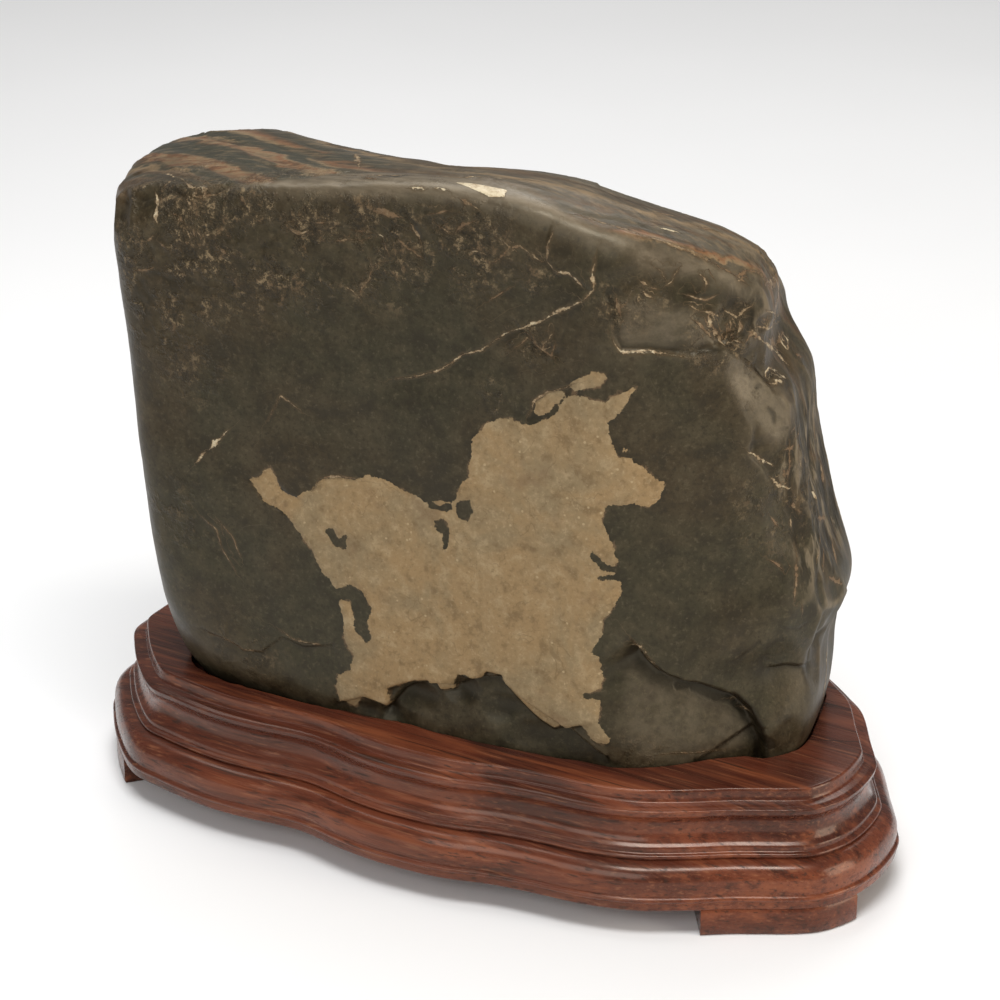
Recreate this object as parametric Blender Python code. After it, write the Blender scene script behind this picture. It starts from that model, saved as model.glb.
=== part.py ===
"""Scholars rock on its carved rosewood stand.

Metres, +Z up.  The broad face of the rock looks along -Y and its long axis lies
along X.  The origin is on the floor, under the middle of the whole piece.  The dimensions
below are measured from a point FRAME_SHIFT away from it.
"""
import math

import bmesh
import bpy
import numpy as np
from mathutils import Vector, noise

MM = 0.001
FRAME_SHIFT = (-13.6 * MM, 9.9 * MM, 0.0)

# ---------------------------------------------------------------- the rock
ROCK_CENTRE = (5 * MM, -2 * MM, 193.5 * MM)
ROCK_DETAIL = 7            # icosphere subdivisions before the relief is thinned out
ROCK_FACE_SHARE = 0.064    # share of the faces that the thinned rock keeps
EDGE_HARDNESS = 20.0       # higher is a crisper edge between two faces
ROCK_UNDERSIDE = 59.5 * MM

# The rock is a rounded block between these weathered faces.  Each has the azimuth
# it looks to (0 is +X, -90 is the front), its elevation and its distance in mm
# from the rock's centre.
ROCK_FACES = {
    "front": (-83, 1, 88),
    "front_low": (-96, -27, 148),
    "front_right": (-51, 1, 122),
    "right": (18, 14, 159),
    "right_low": (10, -19, 199),
    "right_back": (35, -8, 184),
    "back": (82, 1, 84),
    "back_left": (137, -1, 153),
    "left": (180, -8, 194.5),
    "left_low": (186, -30, 198),
    "left_front": (-149, -5, 181.5),
    "top_left": (178, 79, 156),
    "top_mid": (0, 85, 162.5),
    "top_right": (0, 70, 168),
    "top_back": (88, 55, 111),
    "crown_left": (190, 41, 249),
    "crown_right": (5, 45, 212),
    "bottom": (0, -90, 149),
}

# Steps in the surface.  "side" is the azimuth that the step is seen from, "line"
# its edge as (distance to the right, height) in mm on that side, "drop" how far
# the ground falls away beside the edge and "run" how far that drop takes to fade.
# The fallen ground lies to the right of the line as it is walked.
LEDGES = {
    "overhang": {
        "side": -50, "drop": 8.5, "run": 50.0,
        "line": [(36, 141), (44, 133), (52, 124), (57, 117), (64, 113), (73, 110),
                 (82, 108), (90, 102), (96, 95), (101, 86), (106, 77), (108, 66)],
    },
    "toe": {
        "side": -88, "drop": 5.0, "run": 34.0,
        "line": [(-14, 76), (-6, 87), (1, 93), (13, 96), (24, 96), (31, 102),
                 (47, 106), (58, 98), (70, 92), (85, 84), (98, 75)],
    },
    "flake": {
        "side": -55, "drop": 3.0, "run": 34.0,
        "line": [(94, 282), (77, 278), (57, 281), (44, 281), (41, 287), (37, 306)],
    },
    "shoulder": {
        "side": -40, "drop": 3.5, "run": 26.0,
        "line": [(84, 258), (74, 268), (66, 274), (58, 280)],
    },
    "rough_edge": {
        "side": -30, "drop": 3.0, "run": 26.0,
        "line": [(72, 168), (68, 190), (57, 209), (52, 219), (45, 227), (47, 240),
                 (44, 255), (50, 268)],
    },
    "crown_step": {
        "side": -100, "drop": 3.5, "run": 22.0,
        "line": [(-134, 318), (-124, 325), (-112, 327), (-94, 327), (-82, 331)],
    },
    "back_low_step": {
        "side": 95, "drop": 6.0, "run": 55.0,
        "line": [(-120, 150), (-70, 176), (-20, 168), (30, 190), (90, 176)],
    },
    "back_high_step": {
        "side": 80, "drop": 5.0, "run": 40.0,
        "line": [(-60, 268), (-10, 250), (40, 262), (85, 236)],
    },
}

# Swellings and hollows: place in mm, radii in mm, height in mm (minus is a hollow).
LUMPS = {
    "left_crown": ((-128, -10, 331), (50, 60, 40), 2.5),
    "crown_sag": ((-56, 10, 344), (50, 60, 40), -5.5),
    "crown_dip": ((2, 0, 344), (34, 60, 40), -5.5),
    "left_hollow": ((-168, -70, 190), (40, 50, 120), -2.5),
    "right_neck": ((152, 20, 270), (34, 50, 18), -10.0),
    "right_flank": ((166, 20, 202), (40, 50, 34), -6.0),
    "right_hip": ((174, 20, 170), (40, 50, 18), -3.5),
    "right_bulge": ((178, 20, 138), (40, 50, 14), 3.0),
    "right_waist": ((178, 10, 112), (44, 60, 22), -8.0),
    "right_toe": ((168, -26, 78), (26, 24, 22), 3.0),
    "corner_lobe": ((150, -42, 128), (22, 24, 20), 3.0),
    "lobe": ((118, -70, 88), (30, 26, 26), 3.0),
    "chip_high": ((150, -37, 299), (8, 9, 7), -4.5),
    "chip_mid": ((158, -30, 284), (7, 9, 9), -3.5),
    "chip_low": ((161, -27, 264), (6, 8, 6), -3.5),
    "pit_side": ((166, -26, 214), (8, 9, 16), -3.5),
    "left_toe": ((-100, -92, 84), (28, 24, 18), 2.0),
    "back_hollow": ((-40, 84, 230), (60, 40, 44), -9.0),
    "back_swell": ((70, 84, 140), (66, 40, 48), 6.0),
}

# ---------------------------------------------------------------- the stand
APRON_BOTTOM = 14 * MM
FOOT_DEPTH = 24 * MM
SEAT_GAP = 0.4 * MM
OUTLINE_STEPS = 88         # corners in the outline of the carved stand

# Plan of the small bead half-way down, in mm, walked counter-clockwise from the
# left end: three lobes along the front, clipped corners, two lobes at the back.
STAND_PLAN = [
    (-187, -20), (-187.5, -46), (-186.5, -62), (-178, -75.5), (-162, -94.5),
    (-143, -111), (-126, -115.5), (-108, -118.5), (-90, -120), (-72, -119),
    (-57, -117), (-43, -116), (-30, -117.5), (-14, -120.5), (4, -122),
    (18, -121.5), (32, -120.5), (45, -118), (58, -114), (72, -111), (88, -108.7),
    (104, -107), (120, -103.5), (133, -99), (144, -93), (156, -85.5), (170, -76),
    (183, -68.5), (196, -61), (205, -53.5), (211.5, -41), (214.5, -27),
    (214.6, -12), (212.6, 0), (208, 8.5), (200, 21), (185, 45), (171, 58),
    (156, 70), (138, 82), (118, 91), (95, 97), (65, 101), (35, 101), (5, 98),
    (-20, 97), (-45, 99), (-72, 102), (-100, 101), (-128, 96), (-152, 86),
    (-170, 70), (-182, 45), (-186, 15),
]

# Moulding as (out from the bead line, height) in mm, from the top edge down.
STAND_PROFILE = [
    (-10.0, 69.0), (-8.9, 63.6), (-3.4, 62.2), (-2.3, 60.6), (-2.8, 58.2),
    (-5.4, 56.0), (-5.9, 51.0), (-4.9, 46.0), (-1.6, 42.4), (-1.2, 39.4),
    (0.5, 38.2), (0.2, 36.8), (5.6, 34.8), (9.2, 28.5), (9.2, 21.4),
    (10.4, 19.6), (9.5, 17.9),
]
APRON_OUT = 9.4 * MM

# Feet as spans of the outline, given by the plan point where each starts and ends.
FEET = {
    "left_front": ((-186.5, -40), (-153, -103)),
    "right_front": ((152, -88), (212, -40)),
    "right_back": ((192, 34), (138, 82)),
    "left_back": ((-128, 96), (-182, 45)),
}


def clear_scene():
    for item in list(bpy.data.objects):
        bpy.data.objects.remove(item, do_unlink=True)


def principled(name, colour, roughness):
    material = bpy.data.materials.new(name)
    material.use_nodes = True
    shader = material.node_tree.nodes["Principled BSDF"]
    shader.inputs["Base Color"].default_value = (*colour, 1.0)
    shader.inputs["Roughness"].default_value = roughness
    material.diffuse_color = (*colour, 1.0)
    return material


def stone_material():
    return principled("dark_stone", (0.050, 0.048, 0.036), 0.42)


def wood_material():
    return principled("rosewood", (0.115, 0.034, 0.022), 0.34)


# ---------------------------------------------------------------- rock shaping
def facing(azimuth, elevation=0.0):
    turn = math.radians(azimuth)
    tilt = math.radians(elevation)
    level = math.cos(tilt)
    return np.array((math.cos(turn) * level, math.sin(turn) * level, math.sin(tilt)))


def block_radius(directions):
    """Distance from the centre to the rounded block, along each direction."""
    total = np.zeros(len(directions))
    for azimuth, elevation, distance in ROCK_FACES.values():
        nearness = directions @ facing(azimuth, elevation) / (distance * MM)
        total += np.maximum(nearness, 0.0) ** EDGE_HARDNESS
    return total ** (-1.0 / EDGE_HARDNESS)


def smooth_step(value):
    value = np.clip(value, 0.0, 1.0)
    return value * value * (3.0 - 2.0 * value)


def side_position(places, azimuth):
    """Distance to the right and height, as seen from one side."""
    turn = math.radians(azimuth)
    return np.stack((places[:, 1] * math.cos(turn) - places[:, 0] * math.sin(turn),
                     places[:, 2]), axis=1)


def signed_distance(points, line):
    """Distance to an open line, positive to its right, and distance past its ends."""
    best = np.full(len(points), 1e9)
    signed = np.zeros(len(points))
    beyond = np.zeros(len(points))
    last = len(line) - 2
    for index in range(len(line) - 1):
        start = np.array(line[index]) * MM
        along = np.array(line[index + 1]) * MM - start
        length = np.linalg.norm(along)
        along /= length
        offset = points - start
        travel = offset @ along
        past = np.zeros(len(points))
        if index == 0:
            past = np.maximum(-travel, past)
        if index == last:
            past = np.maximum(travel - length, past)
        nearest = np.clip(travel, 0.0, length)
        distance = np.linalg.norm(offset - nearest[:, None] * along, axis=1)
        right = offset[:, 0] * along[1] - offset[:, 1] * along[0]
        closer = distance < best
        best[closer] = distance[closer]
        signed[closer] = (np.sign(right) * distance)[closer]
        beyond[closer] = past[closer]
    return signed, beyond


def ledge_relief(places, normals, side, drop, run, line):
    signed, beyond = signed_distance(side_position(places, side), line)
    fall = smooth_step((signed + 1.0 * MM) / (3.5 * MM))
    fade = np.clip(1.0 - signed / (run * MM), 0.0, 1.0) ** 1.4
    lip = 0.22 * np.exp(-(signed / (9 * MM)) ** 2) * (signed < 0)
    towards = smooth_step((normals @ facing(side) - 0.05) / 0.45)
    ends = smooth_step(1.0 - beyond / (14 * MM))
    return drop * MM * (lip - fall * fade) * towards * ends


def lump_relief(places, centre, radii, height):
    reach = (places - np.array(centre) * MM) / (np.array(radii) * MM)
    return height * MM * np.exp(-np.sum(reach * reach, axis=1))


def rough_relief(places, normals):
    """Slow swells everywhere, and upright ribs and pits on the rough right end."""
    ribs = smooth_step((normals @ facing(5) - 0.35) / 0.5)
    relief = np.zeros(len(places))
    for index, place in enumerate(places):
        spot = Vector(place)
        swell = noise.noise(spot * 14.0) + 0.5 * noise.noise(spot * 31.0)
        relief[index] = 1.5 * swell
        if ribs[index] > 0.01:
            upright = Vector((spot.x * 34.0, spot.y * 46.0, spot.z * 20.0))
            relief[index] -= 4.2 * ribs[index] * abs(noise.noise(upright))
            relief[index] += 1.0 * ribs[index]
    return relief * MM


def shape_rock(mesh_builder):
    centre = np.array(ROCK_CENTRE)
    directions = np.array([vert.co.normalized() for vert in mesh_builder.verts])
    places = centre + directions * block_radius(directions)[:, None]
    for vert, place in zip(mesh_builder.verts, places):
        vert.co = place
    mesh_builder.normal_update()
    normals = np.array([vert.normal for vert in mesh_builder.verts])
    relief = rough_relief(places, normals)
    for ledge in LEDGES.values():
        relief += ledge_relief(places, normals, **ledge)
    for lump in LUMPS.values():
        relief += lump_relief(places, *lump)
    for vert, place, normal, height in zip(mesh_builder.verts, places, normals, relief):
        vert.co = place + normal * height
        uneven = 1.2 * MM * noise.noise(vert.co * 30.0)
        vert.co.z = max(vert.co.z, ROCK_UNDERSIDE + uneven)


def make_stone(material):
    builder = bmesh.new()
    bmesh.ops.create_icosphere(builder, subdivisions=ROCK_DETAIL, radius=1.0)
    shape_rock(builder)
    mesh = bpy.data.meshes.new("stone")
    builder.to_mesh(mesh)
    builder.free()
    mesh.polygons.foreach_set("use_smooth", [True] * len(mesh.polygons))
    stone = bpy.data.objects.new("stone", mesh)
    stone.location = FRAME_SHIFT
    bpy.context.collection.objects.link(stone)
    thin = stone.modifiers.new("thin_out", "DECIMATE")
    thin.ratio = ROCK_FACE_SHARE
    stone.data.materials.append(material)
    return stone


# ---------------------------------------------------------------- stand shaping
def outline_points():
    """The plan as an evenly stepped closed curve, with its outward normals."""
    knots = [Vector((x, y, 0.0)) * MM for x, y in STAND_PLAN]
    count = len(knots)
    fine = []
    for index in range(count):
        before, here = knots[index - 1], knots[index]
        after, later = knots[(index + 1) % count], knots[(index + 2) % count]
        for step in range(12):
            t = step / 12.0
            fine.append(0.5 * ((2 * here) + (after - before) * t
                               + (2 * before - 5 * here + 4 * after - later) * t * t
                               + (3 * here - before - 3 * after + later) * t ** 3))
    lengths = [0.0]
    for index in range(len(fine)):
        lengths.append(lengths[-1] + (fine[(index + 1) % len(fine)] - fine[index]).length)
    points = []
    segment = 0
    for step in range(OUTLINE_STEPS):
        target = lengths[-1] * step / OUTLINE_STEPS
        while lengths[segment + 1] < target:
            segment += 1
        share = (target - lengths[segment]) / (lengths[segment + 1] - lengths[segment])
        points.append(fine[segment].lerp(fine[(segment + 1) % len(fine)], share))
    outward = []
    for index, point in enumerate(points):
        along = points[(index + 1) % len(points)] - points[index - 1]
        outward.append(Vector((along.y, -along.x, 0.0)).normalized())
    return points, outward


def add_ring(builder, points, outward, offset, height):
    return [builder.verts.new(point + normal * offset + Vector((0.0, 0.0, height)))
            for point, normal in zip(points, outward)]


def bridge(builder, upper, lower):
    count = len(upper)
    faces = []
    for index in range(count):
        after = (index + 1) % count
        faces.append(builder.faces.new((upper[index], lower[index],
                                        lower[after], upper[after])))
    return faces


def nearest_step(points, place):
    target = Vector((place[0] * MM, place[1] * MM, 0.0))
    return min(range(len(points)), key=lambda index: (points[index] - target).length)


def draw_feet(builder, points, rim):
    """Pull each foot down out of the rim, over its span of the outline."""
    for start, end in FEET.values():
        first, last = nearest_step(points, start), nearest_step(points, end)
        if last < first:
            last += len(rim)
        span = [rim[index % len(rim)] for index in range(first, last)]
        pulled = bmesh.ops.extrude_face_region(builder, geom=span)
        verts = [item for item in pulled["geom"] if isinstance(item, bmesh.types.BMVert)]
        for vert in verts:
            vert.co.z -= APRON_BOTTOM
        bmesh.ops.delete(builder, geom=span, context="FACES_ONLY")


def make_stand(material, stone):
    points, outward = outline_points()
    builder = bmesh.new()
    rings = [add_ring(builder, points, outward, out * MM, height * MM)
             for out, height in STAND_PROFILE]
    rings.append(add_ring(builder, points, outward, APRON_OUT, APRON_BOTTOM))
    inner = APRON_OUT - FOOT_DEPTH
    for upper, lower in zip(rings, rings[1:]):
        bridge(builder, upper, lower)
    rim_inner = add_ring(builder, points, outward, inner, APRON_BOTTOM)
    rim = bridge(builder, rings[-1], rim_inner)
    builder.faces.new(rings[0])
    builder.faces.new(list(reversed(rim_inner)))
    draw_feet(builder, points, rim)
    bmesh.ops.recalc_face_normals(builder, faces=builder.faces)
    mesh = bpy.data.meshes.new("stand")
    builder.to_mesh(mesh)
    builder.free()
    stand = bpy.data.objects.new("stand", mesh)
    stand.location = FRAME_SHIFT
    bpy.context.collection.objects.link(stand)
    stand.data.materials.append(material)
    carve_seat(stand, stone)
    stand.data.polygons.foreach_set("use_smooth", [True] * len(stand.data.polygons))
    return stand


def carve_seat(stand, stone):
    """Cut the seat as the rock's own underside, with a little room all round."""
    cutter = stone.copy()
    cutter.name = "seat_cutter"
    bpy.context.collection.objects.link(cutter)
    swell = cutter.modifiers.new("room", "DISPLACE")
    swell.strength = SEAT_GAP
    swell.mid_level = 0.0
    cutter.hide_render = True
    cutter.display_type = "WIRE"
    seat = stand.modifiers.new("seat", "BOOLEAN")
    seat.operation = "DIFFERENCE"
    seat.object = cutter


def main():
    clear_scene()
    stone = make_stone(stone_material())
    make_stand(wood_material(), stone)


main()
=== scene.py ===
"""Scholars rock on its carved rosewood stand: the finished piece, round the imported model.

The rock is one closed mesh of triangles, fine where the surface is broken and coarse
behind, with the tan patch, veins and layers as signed distances that its finish
reads.  The stand is one closed mesh swept from a moulding.  Metres, +Z up.
"""
import math

import bmesh
import bpy
import numpy as np
from bpy.props import FloatProperty, FloatVectorProperty, IntProperty, PointerProperty
from bpy.types import Operator, Panel, PropertyGroup
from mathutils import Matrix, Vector, noise


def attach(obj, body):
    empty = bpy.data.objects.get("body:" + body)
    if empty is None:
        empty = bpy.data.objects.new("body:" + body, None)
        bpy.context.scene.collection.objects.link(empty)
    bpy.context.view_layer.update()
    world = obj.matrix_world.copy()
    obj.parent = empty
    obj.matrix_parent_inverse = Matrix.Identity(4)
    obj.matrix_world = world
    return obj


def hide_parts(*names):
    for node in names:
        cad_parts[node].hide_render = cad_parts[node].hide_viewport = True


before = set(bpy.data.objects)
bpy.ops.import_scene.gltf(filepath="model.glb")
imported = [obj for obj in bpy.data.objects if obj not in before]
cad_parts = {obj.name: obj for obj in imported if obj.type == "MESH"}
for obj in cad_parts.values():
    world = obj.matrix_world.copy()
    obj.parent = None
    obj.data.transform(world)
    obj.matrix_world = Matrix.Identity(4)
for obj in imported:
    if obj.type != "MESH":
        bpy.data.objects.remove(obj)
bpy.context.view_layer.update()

bl_info = {
    "name": "Scholars rock on a carved stand",
    "version": (1, 0, 0),
    "blender": (4, 5, 0),
    "location": "3D View > Sidebar > Scholars rock",
    "description": "A dark weathered stone with a tan patch, seated in its rosewood stand",
    "category": "Add Mesh",
}

MM = 0.001
FRAME_SHIFT = np.array((-13.6, 9.9, 0.0)) * MM   # from the maker's origin to the frame's

# ---------------------------------------------------------------- shape of the rock
ROCK_CENTRE = np.array((5.0, -2.0, 193.5)) * MM
BALL_STRETCH = (1.0, 0.56, 0.8)    # spreads the first triangles evenly over the block
ROCK_UNDERSIDE = 59.5 * MM

# Weathered faces: azimuth (0 is +X, -90 the front), elevation, distance in mm.
ROCK_FACES = {
    "front": (-83, 1, 88),
    "front_low": (-96, -27, 148),
    "front_right": (-51, 1, 122),
    "right": (18, 14, 159),
    "right_low": (10, -19, 199),
    "right_back": (35, -8, 184),
    "back": (82, 1, 84),
    "back_left": (137, -1, 153),
    "left": (180, -8, 194.5),
    "left_low": (186, -30, 198),
    "left_front": (-149, -5, 181.5),
    "top_left": (178, 79, 156),
    "top_mid": (0, 85, 162.5),
    "top_right": (0, 70, 168),
    "top_back": (88, 55, 111),
    "crown_left": (190, 41, 249),
    "crown_right": (5, 45, 212),
    "bottom": (0, -90, 149),
}

# Steps in the surface.  "side" is the azimuth that the step is seen from, "line"
# its edge as (distance to the right, height) in mm on that side, "drop" how far
# the ground falls away beside the edge and "run" how far that drop takes to fade.
# The fallen ground lies to the right of the line as it is walked.
LEDGES = {
    "overhang": {
        "side": -50, "drop": 9.0, "run": 44.0, "edge": 3.4,
        "line": [(47, 127), (49, 124), (55, 118), (64, 113), (74, 110),
                 (84, 105), (92, 101), (98, 95), (102, 87), (106, 77), (108, 66)],
    },
    "toe": {
        "side": -88, "drop": 5.0, "run": 34.0,
        "line": [(-14, 76), (-6, 87), (1, 93), (13, 96), (24, 96), (31, 102),
                 (47, 106), (58, 98), (70, 92), (85, 84), (98, 75)],
    },
    "flake": {
        "side": -55, "drop": 2.6, "run": 60.0,
        "line": [(94, 282), (77, 278), (57, 281), (44, 281), (41, 287), (37, 306)],
    },
    "shoulder": {
        "side": -40, "drop": 3.5, "run": 26.0,
        "line": [(84, 258), (74, 268), (66, 274), (58, 280)],
    },
    "rough_edge": {
        "side": -30, "drop": 1.6, "run": 22.0,
        "line": [(72, 168), (68, 190), (57, 209), (52, 219), (45, 227), (47, 240),
                 (44, 255), (50, 268)],
    },
    "crown_step": {
        "side": -100, "drop": 3.5, "run": 22.0,
        "line": [(-134, 318), (-124, 325), (-112, 327), (-94, 327), (-82, 331)],
    },
    "back_low_step": {
        "side": 95, "drop": 6.0, "run": 55.0,
        "line": [(-120, 150), (-70, 176), (-20, 168), (30, 190), (90, 176)],
    },
    "back_high_step": {
        "side": 80, "drop": 5.0, "run": 40.0,
        "line": [(-60, 268), (-10, 250), (40, 262), (85, 236)],
    },
}

# Swellings and hollows: place in mm, radii in mm, height in mm (minus is a hollow).
LUMPS = {
    "left_crown": ((-128, -10, 331), (50, 60, 40), 2.5),
    "crown_sag": ((-56, 10, 344), (50, 60, 40), -5.5),
    "crown_dip": ((2, 0, 344), (34, 60, 40), -5.5),
    "left_hollow": ((-168, -70, 190), (40, 50, 120), -2.5),
    "right_neck": ((152, 20, 270), (34, 50, 18), -10.0),
    "right_flank": ((166, 20, 202), (40, 50, 34), -6.0),
    "right_hip": ((174, 20, 170), (40, 50, 18), -3.5),
    "right_bulge": ((178, 20, 138), (40, 50, 14), 3.0),
    "right_waist": ((178, 10, 112), (44, 60, 22), -8.0),
    "right_toe": ((168, -26, 78), (26, 24, 22), 3.0),
    "corner_lobe": ((150, -42, 128), (22, 24, 20), 3.0),
    "lobe": ((118, -70, 88), (30, 26, 26), 3.0),
    "chip_high": ((150, -37, 299), (8, 9, 7), -1.0),
    "chip_mid": ((158, -30, 284), (7, 9, 9), -0.8),
    "chip_low": ((161, -27, 264), (6, 8, 6), -0.8),
    "pit_side": ((166, -26, 214), (8, 9, 16), -1.0),
    "left_toe": ((-100, -92, 84), (28, 24, 18), 2.0),
    "back_hollow": ((-40, 84, 230), (60, 40, 44), -9.0),
    "back_swell": ((70, 84, 140), (66, 40, 48), 6.0),
}

# Fine steps that only the finished rock carries, as above.
FINE_LEDGES = {
    "vein_step": {
        "side": -83, "drop": 0.9, "run": 16.0,
        "line": [(-15, 251.5), (-4.5, 254), (6.5, 259), (19.5, 269), (28, 272.5),
                 (40, 282.5), (51.5, 288), (58.5, 292), (68.5, 299), (77.5, 304),
                 (82.5, 309.5), (81.5, 315), (83, 325)],
    },
    "vein_crumble": {
        "side": -83, "drop": 1.2, "run": 9.0,
        "line": [(47, 287), (52, 282), (56, 277), (62, 275), (66, 283), (70, 294)],
    },
    "patch_foot": {
        "side": -83, "drop": 2.2, "run": 26.0,
        "line": [(-47, 74), (-34, 80), (-21, 78), (-20, 88), (-7, 95), (1, 97),
                 (6, 91), (13, 92), (17, 103), (26, 101), (32, 108), (40, 108),
                 (42, 100), (50, 93), (58, 87), (66, 83), (80, 89)],
    },
    "ear_left": {
        "side": -83, "drop": 0.9, "run": 12.0,
        "line": [(-77, 173), (-85, 176), (-93, 187), (-84, 193), (-81, 195),
                 (-77, 188), (-72, 183), (-66, 182)],
    },
    "flake_pocket": {
        "side": -83, "drop": 1.1, "run": 10.0,
        "line": [(52, 244), (55, 252), (61, 257), (68, 260), (72, 262)],
    },
    "upper_nick": {
        "side": -83, "drop": 1.3, "run": 8.0,
        "line": [(-9, 332), (-5, 327), (-2, 319), (-1, 314)],
    },
    "upper_hook": {
        "side": -83, "drop": 1.0, "run": 9.0,
        "line": [(61, 335), (60, 329), (61, 320), (65, 315), (71, 316), (81, 310)],
    },
    "corner_crack": {
        "side": -30, "drop": 1.8, "run": 10.0,
        "line": [(60, 114), (67, 113.5), (74, 111), (82, 110)],
    },
    "lobe_groove": {
        "side": -50, "drop": 1.6, "run": 14.0,
        "line": [(74, 70), (83, 74), (92, 79), (101, 83)],
    },
    "crown_terrace": {
        "side": -120, "drop": 1.6, "run": 12.0,
        "line": [(-110, 318), (-98, 327), (-84, 330), (-66, 333)],
    },
    "left_low_step": {
        "side": -83, "drop": 1.1, "run": 16.0,
        "line": [(-120, 98), (-108, 96), (-100, 92), (-90, 93), (-78, 104),
                 (-66, 101), (-52, 105)],
    },
    "back_vein": {
        "side": 90, "drop": 1.6, "run": 16.0,
        "line": [(-96, 214), (-60, 222), (-22, 204), (8, 214), (40, 206), (70, 218)],
    },
    "back_fall": {
        "side": 110, "drop": 2.0, "run": 20.0,
        "line": [(60, 300), (66, 262), (58, 226), (72, 190), (66, 150)],
    },
}

# Scooped chips with crisp rims: side, distance to the right, height, then the two
# radii and the depth, all in mm.
SCOOPS = [
    (-30, 36, 303, 7, 4, 1.0), (-30, 42, 296, 6, 5, 1.2), (-30, 50, 298, 7, 5, 1.2),
    (-30, 39, 289, 4, 7, 1.0), (-30, 47, 290, 4, 8, 1.5), (-30, 57, 289, 8, 5, 1.3),
    (-30, 67, 281, 7, 6, 1.3), (-30, 90, 260, 5, 9, 1.2), (-30, 63, 260, 5, 4, 1.2),
    (-30, 53, 253, 6, 7, 0.9), (-30, 60, 239, 7, 11, 1.2), (-30, 53, 231, 9, 4, 1.0),
    (-30, 66, 213, 9, 4, 1.2), (-30, 100, 208, 7, 15, 1.4),
    (-50, 48, 300, 10, 6, 0.4), (-50, 71, 303, 9, 5, 0.8), (-50, 52, 314, 9, 5, 0.9),
    (-83, -8, 85, 14, 8, 3.0), (-83, 17, 93, 11, 8, 2.6), (-83, 38, 88, 12, 9, 2.4),
    (-83, 52, 78, 14, 8, 1.6), (-83, -28, 73, 12, 5, 1.8), (-83, 62, 276, 6, 5, 1.2),
    (-83, -1, 322, 5, 7, 1.0), (-83, 8, 330, 12, 5, 0.8), (-83, -36, 319, 13, 5, 0.8),
    (-83, 20, 327, 9, 4, 0.8), (-83, -60, 316, 8, 5, 0.8), (-83, -100, 312, 9, 6, 1.0),
    (-110, -97, 318, 5, 9, 1.2), (-110, -108, 318, 6, 9, 1.0),
]

# Flat chips struck off the edges: side, distance to the right and height of their
# middle in mm, the azimuth and elevation they face, then reach and sink in mm.
FACETS = [
    (-50, 58, 302, -54, 13, 36, 0.4), (-30, 40, 292, -40, 20, 12, 0.8),
    (-30, 53, 256, -29, 13, 26, 1.2),
    (-30, 72, 196, -26, 3, 24, 1.2),
    (-30, 98, 150, -5, 13, 22, 1.6), (-30, 99, 131, -8, -22, 20, 1.6),
    (-30, 74, 137, -28, -6, 30, 1.2), (-30, 94, 110, -12, 8, 18, 1.2),
    (-50, 108, 80, -26, -10, 18, 1.0),
    (-110, -84, 324, -106, 32, 24, 0.6), (-110, -104, 316, -134, 16, 16, 1.0),
    (-110, -120, 296, -148, 4, 26, 1.0), (60, -60, 250, 48, 10, 40, 2.0),
    (60, 20, 150, 70, -8, 46, 2.0), (100, 40, 280, 104, 16, 46, 2.5),
    (100, -20, 110, 92, -10, 44, 2.0), (140, 20, 200, 132, -6, 48, 2.0),
    (170, -20, 260, 168, 12, 44, 2.0), (170, 30, 140, 160, -10, 40, 2.0),
]

# Where the smooth front gives way to the broken right end, seen from BROKEN_SIDE.
BROKEN_SIDE = -30
BROKEN_EDGE = [(31, 335), (33, 300), (45, 283), (60, 262), (66, 240), (56, 222),
               (60, 205), (66, 188), (68, 165), (71, 144), (80, 120), (92, 98), (100, 60)]

# ---------------------------------------------------------------- markings
# Outlines as (distance to the right, height) in mm, seen from PATCH_SIDE.
PATCH_SIDE = -83
PATCH = [
    (-93, 187), (-87, 188), (-84, 193.5), (-81, 195), (-78, 191.5), (-77, 186), (-74, 183),
    (-67, 182), (-59, 188), (-54.5, 193.5), (-46.5, 196.5), (-36, 196.5), (-29.5, 200),
    (-22.5, 199.5), (-13.5, 196.5), (-6.5, 194.5), (-0.5, 191.5), (15.5, 195),
    (18.5, 204.5), (22.5, 208), (24, 221.5), (25, 229), (31, 236.5), (38.5, 240.5),
    (45, 241), (50, 239.5), (55, 240.5), (64, 246), (68.5, 252.5), (71.5, 257),
    (78.5, 258), (82, 256), (89, 256), (95, 261.5), (102, 264), (99.5, 257.5), (95, 251),
    (91, 246.5), (90.5, 240.5), (93, 234), (95.5, 229.5), (101, 228.5), (106.5, 225),
    (110.5, 218.5), (114.5, 216), (114, 208.5), (108.5, 204), (102.5, 206.5), (96, 205.5),
    (89, 204.5), (88.5, 197.5), (91, 190.5), (94, 184), (96, 176.5), (95.5, 174),
    (91, 174.5), (84.5, 180.5), (83.5, 178), (90, 171.5), (95.5, 170.5), (87.5, 168),
    (87.5, 166), (98.5, 167), (98, 165), (98, 159.5), (94.5, 152.5), (90.5, 146),
    (89.5, 137.5), (84.5, 128.5), (89, 127.5), (90, 114), (89.5, 108.5), (81.5, 106.5),
    (82, 104), (89.5, 103.5), (89.5, 91), (95.5, 84.5), (94.5, 81), (87, 81.5), (80, 89),
    (65.5, 83.5), (58.5, 87), (49, 93.5), (42, 99.5), (40.5, 108), (31.5, 108), (25, 101),
    (22, 104), (16.5, 103.5), (12.5, 91.5), (5.5, 91), (1, 97), (-6.5, 95), (-20.5, 88),
    (-19.5, 78.5), (-21.5, 77.5), (-34, 81), (-39, 72), (-47, 74.5), (-49, 83),
    (-47.5, 89.5), (-40.5, 94), (-38.5, 102.5), (-43, 109), (-44, 119.5), (-46, 130.5),
    (-48, 138), (-55, 145), (-60.5, 156.5), (-67.5, 166), (-76.5, 173.5), (-84.5, 176),
    (-89, 182.5),
]
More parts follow.
